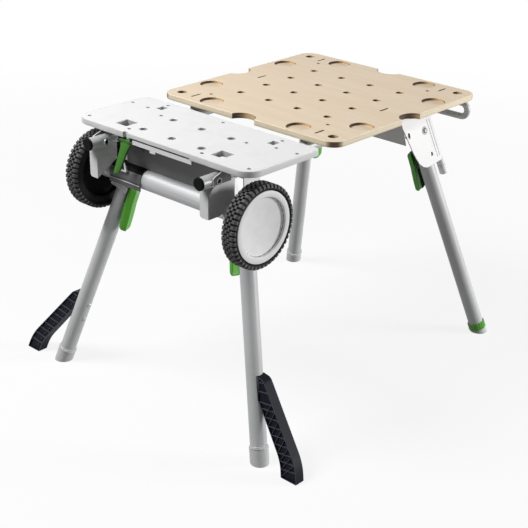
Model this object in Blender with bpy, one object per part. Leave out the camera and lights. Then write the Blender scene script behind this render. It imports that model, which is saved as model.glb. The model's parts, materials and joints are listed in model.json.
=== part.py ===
"""Folding stand for a table saw.

Two perforated plates, one of beech and one of grey laminate, lie on a pair of rails.
Four legs fold in under the plates, and two wheels on a cross beam carry the folded stand.
Units are metres. +X is to the right, +Y runs from the wheels to the beech plate, +Z is up.
The origin is on the floor, under the middle of the stand.
"""

import math

import bmesh
import bpy
from mathutils import Vector

# Clearances and stock that many pieces share
GAP = 0.0003
SHEET = 0.003
PIN_PLAY = 0.0003
EDGE = 0.001
CHAMFER = 0.002

# Plates
TABLE_HEIGHT = 0.677
PLATE_THICK = 0.015
PLATE_GAP = 0.050
BEECH_MIDDLE_Y = 0.1435
BEECH_SIZE = 0.576
BEECH_CORNER = 0.035
DOG_HOLE_RADIUS = 0.010
DOG_PITCH = 0.096
CORNER_HOLE_RADIUS = 0.0125
CORNER_HOLE_OFFSET = 0.250
SCREW_HOLE_RADIUS = 0.0048
POCKET_RADIUS = 0.030
POCKET_DEPTH = 0.007
POCKET_OFFSET = 0.250
NOTCH_RADIUS = 0.036
STRAP_SLOT_LENGTH = 0.029
STRAP_SLOT_WIDTH = 0.006
STRAP_SLOT_X = 0.205
STRAP_SLOT_Y = 0.245
BEECH_SCREW_X = 0.185
BEECH_SCREW_Y = 0.210
BEECH_SCREW_NEAR_Y = 0.190
SAW_WIDTH = 0.576
SAW_DEPTH = 0.232
SAW_FRONT_CORNER = 0.040
SAW_LEFT_CORNER = 0.030
SAW_RIGHT_CORNER = 0.013
SAW_DOG_ROW = 0.047
SAW_MIDDLE_HOLE = 0.214
SAW_SQUARE_HOLE = 0.038
SAW_SQUARE_X = 0.158
SAW_SQUARE_BACK = 0.051
SAW_LATCH_HOLE_X = 0.020
SAW_LATCH_HOLE_Y = 0.024
SAW_LATCH_BACK = 0.189
SAW_EDGE_NOTCH = 0.013
SAW_EDGE_NOTCH_X = -0.108
SAW_LIP_LEFT = 0.095
SAW_LIP_RIGHT = 0.105
SAW_LIP_DEPTH = 0.012
SAW_LIP_THICK = 0.006
# Screw holes of the saw plate: distance from the middle plane, distance from the front edge
SAW_SCREW_HOLES = ((0.271, 0.1715), (0.2625, 0.0255), (0.189, 0.214), (0.141, 0.146), (0.120, 0.025),
                   (0.2125, 0.1675))

# Rails and the strips that carry the plates
RAIL_X = 0.184
RAIL_RADIUS = 0.014
RAIL_WALL = 0.002
RAIL_FRONT_OVERHANG = 0.045
RAIL_REAR_OVERHANG = 0.013
STRIP_HEIGHT = 0.008
STRIP_WIDTH = 0.020
STRIP_INSET = 0.012
CAP_LENGTH = 0.014
CAP_RIM = 0.0015
CAP_HEAD = 0.006

# Cross beam, axles and wheels
BEAM_RADIUS = 0.025
BEAM_WALL = 0.0025
BEAM_HALF = 0.222
BEAM_BACK_FROM_SAW_EDGE = 0.043
BEAM_BELOW_RAIL = 0.070
AXLE_PLATE_THICK = 0.0045
AXLE_PLATE_RADIUS = 0.027
AXLE_EYE_RADIUS = 0.016
AXLE_RADIUS = 0.008
AXLE_PLUG_LENGTH = 0.020
AXLE_BACK_FROM_BEAM = 0.012
AXLE_BELOW_BEAM = 0.019
WHEEL_RADIUS = 0.099
WHEEL_WIDTH = 0.038
WHEEL_INSIDE_GAP = 0.017
TYRE_INNER_RADIUS = 0.071
TYRE_SHOULDER = 0.006
SIDEWALL_INSET = 0.004
HUB_WEB = 0.008
HUB_BOSS_RADIUS = 0.020
COVER_RADIUS = 0.084
COVER_THICK = 0.004
COVER_DISH = 0.008
COVER_DISC = 0.002
COVER_RIM = 0.014
COVER_SLOPE = 0.008
LUG_COUNT = 22
LUG_DEPTH = 0.003

# Leg tubes and their hinges
LEG_RADIUS = 0.020
LEG_WALL = 0.002
LEG_HEAD = 0.012
CHEEK_INSIDE = 0.025
HINGE_PIN_RADIUS = 0.005
HINGE_HEAD_RADIUS = 0.007
HINGE_HEAD_HEIGHT = 0.003
EAR_RADIUS = 0.016
STOP_GAP = 0.0003
ROLL_RADIUS = 0.0095
ROLL_OFFSET = 0.0365
ROLL_TOP = 0.026
REAR_STOP_START = 0.026
REAR_STOP_END = 0.097
FRONT_STOP_START = 0.026
FRONT_STOP_END = 0.038
BUFFER_LENGTH = 0.034
REAR_PIVOT_X = 0.1815
REAR_PIVOT_FROM_BEECH_MIDDLE = 0.176
REAR_PIVOT_BELOW_RAIL = 0.051
REAR_SPLAY_OUT = 0.283
REAR_SPLAY_BACK = 0.235
REAR_LOCK_RADIUS = 0.067
FRONT_PIVOT_X = 0.1938
FRONT_PIVOT_FROM_SAW_EDGE = 0.087
FRONT_PIVOT_BELOW_RAIL = 0.097
FRONT_SPLAY_OUT = 0.300
FRONT_SPLAY_BACK = 0.210
FRONT_LOCK_RADIUS = 0.032

# Leg brackets
BRACKET_BLANK = 0.2
BRACKET_LAP = 0.001
CHEEK_SPARE = 0.030
FRONT_PAD_FOLD = 0.038
FRONT_PAD_BACK = 0.010
REAR_PAD_FOLD = 0.085
REAR_PAD_BACK = 0.020
EAR_SEAT_FOLD = 0.026
FOLD_HOLE_LENGTH = 0.017
FOLD_HOLE_WIDTH = 0.0085
FRONT_CHEEK_BACK = 0.012
FRONT_CHEEK_SHOULDER = 0.008
FRONT_CHEEK_FOLD = 0.040
REAR_CHEEK_FOLD = 0.109
# Lower edge of a front cheek: distance toward the fold, distance below the lock hole
FRONT_CHEEK_EDGE = ((0.040, -0.020), (0.030, -0.002), (0.012, 0.009), (-0.010, 0.010))
# Lower edge of a rear cheek: distance toward the fold, distance below the lock hole
REAR_CHEEK_EDGE = ((0.059, -0.028), (0.052, -0.015), (0.042, 0.001), (0.028, 0.012), (0.012, 0.017))
BUFFER_COLLAR = 0.004
BUFFER_STEP = 0.001

# Feet
FOOT_RADIUS = 0.0225
FOOT_LENGTH = 0.040
FOOT_SOLE = 0.014
ADJUSTER_RADIUS = 0.0235
ADJUSTER_HEIGHT = 0.019
ADJUSTER_SOLE = 0.011
ADJUSTER_STEM = 0.060

# Leg locks
LOCK_PIN_RADIUS = 0.005
LOCK_HEAD_RADIUS = 0.0065
LOCK_NECK_RADIUS = 0.004
LOCK_WIDTH = 0.038
LOCK_LENGTH = 0.049
LOCK_ABOVE_PIN = 0.009
LOCK_BASE = 0.026
LOCK_EAR_REACH = 0.038
LOCK_EAR_HALF = 0.010
LOCK_EAR_CORNER = 0.004
LOCK_CROSS_PIN_RADIUS = 0.003
LOCK_ARM = 0.025
LOCK_CROSS_PIN_DEPTH = 0.033
LOCK_HEAD_PLAY = 0.0018
LEVER_WIDTH = 0.030
LEVER_ARM_THICK = 0.005
LEVER_LENGTH = 0.078
LEVER_END_DEPTH = 0.051
LEVER_END_THICK = 0.009
LEVER_END_CORNER = 0.003
LEVER_END_FRONT = 0.008
LEVER_END_BACK = 0.006
LEVER_NOSE = 0.009
LEVER_EYE_OUTSIDE = 0.009
LEVER_EYE_INSIDE = 0.005
LEVER_SHOULDER_OUTSIDE = 0.012
LEVER_SHOULDER_INSIDE = 0.001
LEVER_SHOULDER_DROP = 0.020
LEVER_EYE_HALF = 0.004
FORK_SPARE = 0.002
LOCK_HEAD_THICK = 0.003

# Front and rear aprons
APRON_HALF = 0.150
APRON_FLANGE_LEFT = 0.084
APRON_FLANGE_RIGHT = 0.110
APRON_FLANGE_REACH = 0.039
APRON_LIP = 0.009
REAR_APRON_FROM_BEECH_MIDDLE = 0.160
REAR_APRON_DEPTH = 0.128
REAR_APRON_FLANGE = 0.025

# Clamp lever on the front apron
CLAMP_X = -0.114
CLAMP_TOP_WIDTH = 0.043
CLAMP_END_WIDTH = 0.022
CLAMP_LENGTH = 0.070
CLAMP_LEAN = 0.027
CLAMP_THICK = 0.008
CLAMP_BARREL_RADIUS = 0.008
CLAMP_PIN_RADIUS = 0.004
CLAMP_PIVOT_REACH = 0.033
CLAMP_PIVOT_DROP = 0.010
CLAMP_CLEVIS_DROP = 0.028
CLAMP_SHOULDER = 0.014
CLAMP_WAIST = 0.056
CLAMP_END_ROUND = 0.008

# Rail end brackets
END_BRACKET_WIDTH = 0.027
END_BRACKET_FRONT_INSET = 0.012
END_BRACKET_LENGTH = 0.083
END_BRACKET_DROP = 0.067
END_GUSSET_LENGTH = 0.060
END_GUSSET_DROP = 0.010
END_FACE_RISE = 0.011
END_CORNER = 0.008
END_CORNER_RISE = 0.004
END_HOOK_REACH = 0.018
END_SADDLE_IN = 0.012
END_SADDLE_RISE = 0.006

# Outriggers on the front legs
OUTRIGGER_THICK = 0.025
OUTRIGGER_TOP = 0.205
OUTRIGGER_SEAT = 0.140
OUTRIGGER_KNEE_OUT = 0.114
OUTRIGGER_TOE_OUT = 0.1225
OUTRIGGER_HEEL_OUT = 0.0755
OUTRIGGER_KNEE_HEIGHT = 0.034
OUTRIGGER_HEEL_HEIGHT = 0.026
OUTRIGGER_RIM = 0.005
OUTRIGGER_RECESS = 0.006
OUTRIGGER_TOP_WIDTH = 0.019
OUTRIGGER_TOP_SLOPE = 0.004
OUTRIGGER_HEEL_SLOPE = 0.006
OUTRIGGER_SEAT_STEP = 0.012
OUTRIGGER_SEAT_GAP = 0.001
OUTRIGGER_SLANT = 1.4

# Pull handle at the beech end
HANDLE_RADIUS = 0.0085
HANDLE_HALF = 0.241
HANDLE_BEND = 0.018
HANDLE_FROM_RAIL_END = 0.011
HANDLE_IN_RAIL = 0.005

# Heights and stations that follow from the sizes above
PLATE_UNDER = TABLE_HEIGHT - PLATE_THICK
RAIL_Z = PLATE_UNDER - STRIP_HEIGHT - RAIL_RADIUS
RAIL_UNDER = RAIL_Z - RAIL_RADIUS
PAD_TOP = RAIL_UNDER - GAP
PAD_UNDER = PAD_TOP - SHEET
BEECH_FRONT = BEECH_MIDDLE_Y - BEECH_SIZE / 2
BEECH_BACK = BEECH_MIDDLE_Y + BEECH_SIZE / 2
SAW_BACK = BEECH_FRONT - PLATE_GAP
SAW_FRONT = SAW_BACK - SAW_DEPTH
SAW_MIDDLE_Y = (SAW_FRONT + SAW_BACK) / 2
RAIL_FRONT = SAW_FRONT - RAIL_FRONT_OVERHANG
RAIL_BACK = BEECH_BACK + RAIL_REAR_OVERHANG
BEAM_Y = SAW_FRONT + BEAM_BACK_FROM_SAW_EDGE
BEAM_Z = RAIL_UNDER - BEAM_BELOW_RAIL
AXLE_Y = BEAM_Y + AXLE_BACK_FROM_BEAM
AXLE_Z = BEAM_Z - AXLE_BELOW_BEAM
AXLE_PLATE_X = BEAM_HALF + GAP + AXLE_PLATE_THICK
WHEEL_X = AXLE_PLATE_X + WHEEL_INSIDE_GAP + WHEEL_WIDTH / 2
WHEEL_FACE = WHEEL_WIDTH / 2 - SIDEWALL_INSET
COVER_FRONT = WHEEL_FACE + GAP + COVER_THICK
COVER_BACK = COVER_FRONT - COVER_DISH - COVER_DISC
SIDES = {"left": -1, "right": 1}
SHARP_ANGLE = 35


def make_material(name, colour, roughness, metallic=0.0):
    """Make one Principled material from a linear colour."""
    material = bpy.data.materials.new(name)
    material.use_nodes = True
    shader = material.node_tree.nodes["Principled BSDF"]
    shader.inputs["Base Color"].default_value = (*colour, 1.0)
    shader.inputs["Roughness"].default_value = roughness
    shader.inputs["Metallic"].default_value = metallic
    return material


def add_prism(bm, outline, place, low, high):
    """Add a closed prism; place(a, b, depth) turns outline points and a depth into a point."""
    rings = []
    for depth in (low, high):
        rings.append([bm.verts.new(place(a, b, depth)) for a, b in outline])
    bm.faces.new(rings[0])
    bm.faces.new(rings[1])
    for i in range(len(outline)):
        j = (i + 1) % len(outline)
        bm.faces.new((rings[0][i], rings[0][j], rings[1][j], rings[1][i]))


def add_box(bm, low, high):
    """Add a box between two corners."""
    outline = [(low[0], low[1]), (high[0], low[1]), (high[0], high[1]), (low[0], high[1])]
    add_prism(bm, outline, lambda a, b, depth: Vector((a, b, depth)), low[2], high[2])


def cross_directions(axis):
    """Give two unit directions square to an axis and to each other."""
    start = Vector((0, 0, 1)) if abs(axis.z) < 0.9 else Vector((1, 0, 0))
    first = axis.cross(start).normalized()
    return first, axis.cross(first).normalized()


def add_lathe(bm, base, axis, profile, segments):
    """Spin a closed profile of (along, radius) pairs about an axis; a radius of 0 makes a pole."""
    axis = Vector(axis).normalized()
    first, second = cross_directions(axis)
    turns = [2 * math.pi * k / segments for k in range(segments)]
    rings = []
    for along, radius in profile:
        centre = Vector(base) + axis * along
        if radius == 0:
            rings.append([bm.verts.new(centre)])
            continue
        rings.append(
            [bm.verts.new(centre + (first * math.cos(t) + second * math.sin(t)) * radius) for t in turns]
        )
    for i, ring in enumerate(rings):
        other = rings[(i + 1) % len(rings)]
        for k in range(segments):
            n = (k + 1) % segments
            if len(ring) == 1 and len(other) == 1:
                break
            if len(ring) == 1:
                bm.faces.new((ring[0], other[n], other[k]))
            elif len(other) == 1:
                bm.faces.new((ring[k], ring[n], other[0]))
            else:
                bm.faces.new((ring[k], ring[n], other[n], other[k]))


def add_rod(bm, start, end, radius, segments=24):
    """Add a solid round rod between two points."""
    axis = Vector(end) - Vector(start)
    add_prism(bm, circle(0, 0, radius, segments), round_place(start, axis), 0, axis.length)


def add_tube(bm, start, end, radius, wall, segments=24):
    """Add an open tube between two points."""
    axis = Vector(end) - Vector(start)
    inner = radius - wall
    profile = [(0, inner), (0, radius), (axis.length, radius), (axis.length, inner)]
    add_lathe(bm, start, axis, profile, segments)


def round_place(start, axis):
    """Give a place function whose depth runs along an axis."""
    direction = Vector(axis).normalized()
    first, second = cross_directions(direction)
    return lambda a, b, depth: Vector(start) + first * a + second * b + direction * depth


def add_sweep(bm, path, radius, segments):
    """Sweep a circle along a path that lies in one plane."""
    normal = (path[1] - path[0]).cross(path[len(path) // 4] - path[0]).normalized()
    rings = []
    for i, point in enumerate(path):
        ahead = path[min(i + 1, len(path) - 1)]
        behind = path[max(i - 1, 0)]
        side = (ahead - behind).normalized().cross(normal)
        ring = []
        for k in range(segments):
            turn = 2 * math.pi * k / segments
            ring.append(bm.verts.new(point + (side * math.cos(turn) + normal * math.sin(turn)) * radius))
        rings.append(ring)
    for ring, other in zip(rings, rings[1:]):
        for k in range(segments):
            n = (k + 1) % segments
            bm.faces.new((ring[k], ring[n], other[n], other[k]))
    bm.faces.new(rings[0])
    bm.faces.new(rings[-1])


def circle(a, b, radius, segments=24):
    """Outline of a circle."""
    return arc(a, b, radius, 0, 360 - 360 / segments, segments - 1)


def arc(a, b, radius, start, end, steps):
    """Points of an arc, with its angles in degrees."""
    points = []
    for k in range(steps + 1):
        turn = math.radians(start + (end - start) * k / steps)
        points.append((a + radius * math.cos(turn), b + radius * math.sin(turn)))
    return points


def rounded_box(half_a, low_b, high_b, radii, steps=8):
    """Outline of a rectangle about a = 0 whose corners run right-back, left-back, left-front, right-front."""
    back_right, back_left, front_left, front_right = radii
    points = arc(half_a - back_right, high_b - back_right, back_right, 0, 90, steps)
    points += arc(back_left - half_a, high_b - back_left, back_left, 90, 180, steps)
    points += arc(front_left - half_a, low_b + front_left, front_left, 180, 270, steps)
    points += arc(half_a - front_right, low_b + front_right, front_right, 270, 360, steps)
    return points


def slot(a, b, half_length, radius, steps=6):
    """Outline of a slot with round ends that runs along b."""
    points = arc(a, b + half_length - radius, radius, 0, 180, steps)
    return points + arc(a, b - half_length + radius, radius, 180, 360, steps)


def rectangle(a, b, width, depth):
    """Outline of a rectangle about a point."""
    return [
        (a - width / 2, b - depth / 2),
        (a + width / 2, b - depth / 2),
        (a + width / 2, b + depth / 2),
        (a - width / 2, b + depth / 2),
    ]


def flat(a, b, depth):
    """Place function for outlines in the XY plane."""
    return Vector((a, b, depth))


def upright(a, b, depth):
    """Place function for outlines in the YZ plane, with depth along X."""
    return Vector((depth, a, b))


def as_object(name, bm):
    """Turn a bmesh into an object whose faces point out."""
    bmesh.ops.recalc_face_normals(bm, faces=bm.faces)
    mesh = bpy.data.meshes.new(name)
    bm.to_mesh(mesh)
    bm.free()
    made = bpy.data.objects.new(name, mesh)
    bpy.context.collection.objects.link(made)
    return made


def solid(name, *adders):
    """Make an object from functions that each add one shape to a bmesh."""
    bm = bmesh.new()
    for adder in adders:
        adder(bm)
    return as_object(name, bm)


def combine(target, operation, *tools):
    """Apply exact booleans to the target, one tool after another, and delete the tools."""
    for tool in tools:
        step = target.modifiers.new("combine", "BOOLEAN")
        step.operation = operation
        step.solver = "EXACT"
        step.object = tool
    graph = bpy.context.evaluated_depsgraph_get()
    result = bpy.data.meshes.new_from_object(target.evaluated_get(graph))
    target.modifiers.clear()
    target.data = result
    for tool in tools:
        bpy.data.objects.remove(tool, do_unlink=True)
    return target


def finish(made, material, origin, parent=None):
    """Give an object its material, shading, origin and parent."""
    origin = Vector(origin)
    for vertex in made.data.vertices:
        vertex.co -= origin
    made.location = origin
    made.data.materials.clear()
    made.data.materials.append(material)
    made.data.shade_smooth()
    made.data.set_sharp_from_angle(angle=math.radians(SHARP_ANGLE))
    if parent is not None:
        hang(made, parent)
    return made


def hang(child, parent):
    """Parent an object to an empty that has no rotation, without moving the object."""
    child.parent = parent
    child.matrix_parent_inverse = parent.matrix_world.inverted()


def joint_empty(name, point, parent=None):
    """Make an empty on a joint's axis."""
    empty = bpy.data.objects.new(name, None)
    empty.empty_display_size = LEG_RADIUS
    empty.location = Vector(point)
    bpy.context.collection.objects.link(empty)
    if parent is not None:
        hang(empty, parent)
    bpy.context.view_layer.update()
    return empty


class LegSite:
    """Where one leg hangs: its hinge point and the directions that its pieces follow.

    out is the hinge axis, away from the stand; fold points where the leg folds to; down lies
    in the hinge's plane, square to fold. leg runs down the leg and side is square to the leg.
    """

    def __init__(self, end, side):
        self.name = end + "_" + side
        self.sign = SIDES[side]
        if end == "front":
            pivot_y = SAW_FRONT + FRONT_PIVOT_FROM_SAW_EDGE
            drop = FRONT_PIVOT_BELOW_RAIL
            pivot_x = FRONT_PIVOT_X
            self.splay_out = FRONT_SPLAY_OUT
            self.splay_back = FRONT_SPLAY_BACK
            self.lock_radius = FRONT_LOCK_RADIUS
            fold_y = 1
        else:
            pivot_y = BEECH_MIDDLE_Y + REAR_PIVOT_FROM_BEECH_MIDDLE
            drop = REAR_PIVOT_BELOW_RAIL
            pivot_x = REAR_PIVOT_X
            self.splay_out = REAR_SPLAY_OUT
            self.splay_back = REAR_SPLAY_BACK
            self.lock_radius = REAR_LOCK_RADIUS
            fold_y = -1
        self.is_front = end == "front"
        self.fold_y = fold_y
        self.pivot_x = pivot_x
        self.pivot = Vector((self.sign * pivot_x, pivot_y, RAIL_UNDER - drop))
        self.tilt = math.hypot(1, self.splay_out)
        self.out = Vector((self.sign, 0, self.splay_out)) / self.tilt
        self.fold = Vector((0, fold_y, 0))
        self.down = Vector((self.sign * self.splay_out, 0, -1)) / self.tilt
        slope = Vector((self.sign * self.splay_out, -fold_y * self.splay_back, -1))
        self.stretch = slope.length
        self.leg = slope / self.stretch
        self.side = (self.fold - self.leg * self.fold.dot(self.leg)).normalized()
        self.length = self.pivot.z * self.stretch

    def at(self, out, fold, down):
        """Point in the hinge's directions."""
        return self.pivot + self.out * out + self.fold * fold + self.down * down

    def along(self, out, side, leg):
        """Point in the leg's directions."""
        return self.pivot + self.out * out + self.side * side + self.leg * leg

    def cheek_x(self, out, z):
        """Distance from the middle plane of a plane square to the hinge axis, at a height."""
        return self.pivot_x + out * self.tilt - self.splay_out * (z - self.pivot.z)

    def beside(self, point, z):
        """Station where a line through a point, along the leg, reaches a height."""
        return point.y + (z - point.z) * self.leg.y / self.leg.z


def build_beech_plate(material):
    """Square beech plate with bench dog holes, shallow pockets, strap slots and edge notches."""
    half = BEECH_SIZE / 2
    y = BEECH_MIDDLE_Y
    outline = rounded_box(half, y - half, y + half, [BEECH_CORNER] * 4)
    plate = solid("beech_plate", lambda bm: add_prism(bm, outline, flat, PLATE_UNDER, TABLE_HEIGHT))
    grid = (-1.5 * DOG_PITCH, -0.5 * DOG_PITCH, 0.5 * DOG_PITCH, 1.5 * DOG_PITCH)
    holes = bmesh.new()
    low = PLATE_UNDER - PLATE_THICK
    high = TABLE_HEIGHT + PLATE_THICK
    for x in grid:
        for step in grid:
            add_prism(holes, circle(x, y + step, DOG_HOLE_RADIUS, 16), flat, low, high)
    for x in (-CORNER_HOLE_OFFSET, CORNER_HOLE_OFFSET):
        for step in (-CORNER_HOLE_OFFSET, CORNER_HOLE_OFFSET):
            add_prism(holes, circle(x, y + step, CORNER_HOLE_RADIUS, 16), flat, low, high)
    for x in (-BEECH_SCREW_X, BEECH_SCREW_X):
        near = BEECH_SCREW_NEAR_Y if x > 0 else BEECH_SCREW_Y
        for step in (-near, BEECH_SCREW_Y):
            add_prism(holes, circle(x, y + step, SCREW_HOLE_RADIUS, 8), flat, low, high)
    for x in (-STRAP_SLOT_X, STRAP_SLOT_X):
        for step in (-STRAP_SLOT_Y, 0, STRAP_SLOT_Y):
            outline = slot(x, y + step, STRAP_SLOT_LENGTH / 2, STRAP_SLOT_WIDTH / 2, 4)
            add_prism(holes, outline, flat, low, high)
    for x, step in ((half, 0), (-half, 0), (0, half), (0, -half)):
        add_prism(holes, circle(x, y + step, NOTCH_RADIUS, 24), flat, low, high)
    floor = TABLE_HEIGHT - POCKET_DEPTH
    for near in (-1.5 * DOG_PITCH, 1.5 * DOG_PITCH):
        for far in (-POCKET_OFFSET, POCKET_OFFSET):
            add_prism(holes, circle(near, y + far, POCKET_RADIUS, 22), flat, floor, high)
            add_prism(holes, circle(far, y + near, POCKET_RADIUS, 22), flat, floor, high)
    combine(plate, "DIFFERENCE", as_object("holes", holes))
    finish(plate, material, (0, y, PLATE_UNDER))


def build_saw_plate(material):
    """Grey plate that carries the saw, with its fixing holes and a thin front edge."""
    corners = [SAW_RIGHT_CORNER, SAW_LEFT_CORNER, SAW_FRONT_CORNER, SAW_FRONT_CORNER]
    outline = rounded_box(SAW_WIDTH / 2, SAW_FRONT, SAW_BACK, corners)
    plate = solid("saw_plate", lambda bm: add_prism(bm, outline, flat, PLATE_UNDER, TABLE_HEIGHT))
    low = PLATE_UNDER - PLATE_THICK
    high = TABLE_HEIGHT + PLATE_THICK
    holes = bmesh.new()
    for x in (-DOG_PITCH, 0, DOG_PITCH):
        for back in (SAW_DOG_ROW, SAW_DOG_ROW + DOG_PITCH):
            add_prism(holes, circle(x, SAW_FRONT + back, DOG_HOLE_RADIUS, 16), flat, low, high)
    for x, back in SAW_SCREW_HOLES:
        for sign in SIDES.values():
            outline = circle(sign * x, SAW_FRONT + back, SCREW_HOLE_RADIUS, 8)
            add_prism(holes, outline, flat, low, high)
    add_prism(holes, circle(0, SAW_FRONT + SAW_MIDDLE_HOLE, SCREW_HOLE_RADIUS, 8), flat, low, high)
    for sign in SIDES.values():
        square = rectangle(sign * SAW_SQUARE_X, SAW_FRONT + SAW_SQUARE_BACK, SAW_SQUARE_HOLE, SAW_SQUARE_HOLE)
        add_prism(holes, square, flat, low, high)
        latch = rectangle(sign * RAIL_X, SAW_FRONT + SAW_LATCH_BACK, SAW_LATCH_HOLE_X, SAW_LATCH_HOLE_Y)
        add_prism(holes, latch, flat, low, high)
    notch = rectangle(SAW_EDGE_NOTCH_X, SAW_FRONT, SAW_EDGE_NOTCH, SAW_EDGE_NOTCH)
    add_prism(holes, notch, flat, low, high)
    lip_top = TABLE_HEIGHT - SAW_LIP_THICK
    lip = [(-SAW_LIP_LEFT, SAW_FRONT - SAW_LIP_DEPTH), (SAW_LIP_RIGHT, SAW_FRONT - SAW_LIP_DEPTH),
           (SAW_LIP_RIGHT, SAW_FRONT + SAW_LIP_DEPTH), (-SAW_LIP_LEFT, SAW_FRONT + SAW_LIP_DEPTH)]
    add_prism(holes, lip, flat, low, lip_top)
    combine(plate, "DIFFERENCE", as_object("holes", holes))
    finish(plate, material, (0, SAW_MIDDLE_Y, PLATE_UNDER))


def build_rails(tube, black, packing):
    """Two rails with their front caps and the saddle strips that the plates lie on."""
    for side, sign in SIDES.items():
        x = sign * RAIL_X
        start = Vector((x, RAIL_FRONT, RAIL_Z))
        end = Vector((x, RAIL_BACK, RAIL_Z))
        rail = solid("rail_" + side, lambda bm: add_tube(bm, start, end, RAIL_RADIUS, RAIL_WALL))
        grip_y = RAIL_BACK - HANDLE_FROM_RAIL_END
        inside = Vector((x, grip_y, RAIL_Z))
        outside = inside + Vector((sign * 2 * RAIL_RADIUS, 0, 0))
        hole_radius = HANDLE_RADIUS + PIN_PLAY
        hole = solid("hole", lambda bm: add_rod(bm, inside, outside, hole_radius, 16))
        combine(rail, "DIFFERENCE", hole)
        finish(rail, tube, start)
        plug = RAIL_RADIUS - RAIL_WALL - GAP
        rim = RAIL_RADIUS + CAP_RIM
        profile = [(0, 0), (0, rim - CHAMFER), (CHAMFER, rim), (CAP_HEAD, rim), (CAP_HEAD, plug),
                   (CAP_HEAD + CAP_LENGTH, plug), (CAP_HEAD + CAP_LENGTH, 0)]
        cap_base = start - Vector((0, CAP_HEAD + GAP, 0))
        cap = solid("rail_cap_" + side, lambda bm: add_lathe(bm, cap_base, (0, 1, 0), profile, 20))
        finish(cap, black, cap_base)
        for plate, front, back in (("saw", SAW_FRONT, SAW_BACK), ("beech", BEECH_FRONT, BEECH_BACK)):
            low = (x - STRIP_WIDTH / 2, front + STRIP_INSET, RAIL_Z + RAIL_RADIUS / 2)
            high = (x + STRIP_WIDTH / 2, back - STRIP_INSET, PLATE_UNDER - GAP)
            strip = solid(plate + "_strip_" + side, lambda bm: add_box(bm, low, high))
            core = solid("core", lambda bm: add_rod(bm, start, end, RAIL_RADIUS + GAP, 28))
            combine(strip, "DIFFERENCE", core)
            finish(strip, packing, (x, front, PLATE_UNDER))


def build_beam_and_wheels(tube, steel, black, rubber, grey):
    """Cross beam, its two axles, and a wheel of hub, tyre and cover at each end."""
    ends = [Vector((sign * BEAM_HALF, BEAM_Y, BEAM_Z)) for sign in (-1, 1)]
    beam = solid("cross_beam", lambda bm: add_tube(bm, ends[0], ends[1], BEAM_RADIUS, BEAM_WALL, 32))
    finish(beam, tube, (0, BEAM_Y, BEAM_Z))
    for side, sign in SIDES.items():
        build_axle(side, sign, steel)
        build_wheel(side, sign, black, rubber, grey)


def build_axle(side, sign, steel):
    """Plate on the end of the beam, with a plug in the tube and a stub for the wheel."""
    lean = math.degrees(math.atan2(AXLE_BELOW_BEAM, -AXLE_BACK_FROM_BEAM))
    apart = math.hypot(AXLE_BELOW_BEAM, AXLE_BACK_FROM_BEAM)
    flank = 90 + math.degrees(math.asin((AXLE_PLATE_RADIUS - AXLE_EYE_RADIUS) / apart))
    outline = arc(BEAM_Y, BEAM_Z, AXLE_PLATE_RADIUS, lean - flank, lean + flank, 16)
    outline += arc(AXLE_Y, AXLE_Z, AXLE_EYE_RADIUS, lean + flank, lean + 360 - flank, 8)
    inner = sign * (BEAM_HALF + GAP)
    outer = sign * AXLE_PLATE_X
    axle = solid("axle_" + side, lambda bm: add_prism(bm, outline, upright, inner, outer))
    stub_end = sign * (WHEEL_X + COVER_BACK - GAP)
    stub = solid("stub", lambda bm: add_prism(
        bm, circle(AXLE_Y, AXLE_Z, AXLE_RADIUS, 24), upright, outer - sign * SHEET, stub_end))
    plug_radius = BEAM_RADIUS - BEAM_WALL - GAP
    plug_end = sign * (BEAM_HALF - AXLE_PLUG_LENGTH)
    plug = solid("plug", lambda bm: add_prism(
        bm, circle(BEAM_Y, BEAM_Z, plug_radius, 32), upright, plug_end, inner + sign * SHEET))
    combine(axle, "UNION", stub, plug)
    finish(axle, steel, (outer, AXLE_Y, AXLE_Z))


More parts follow.
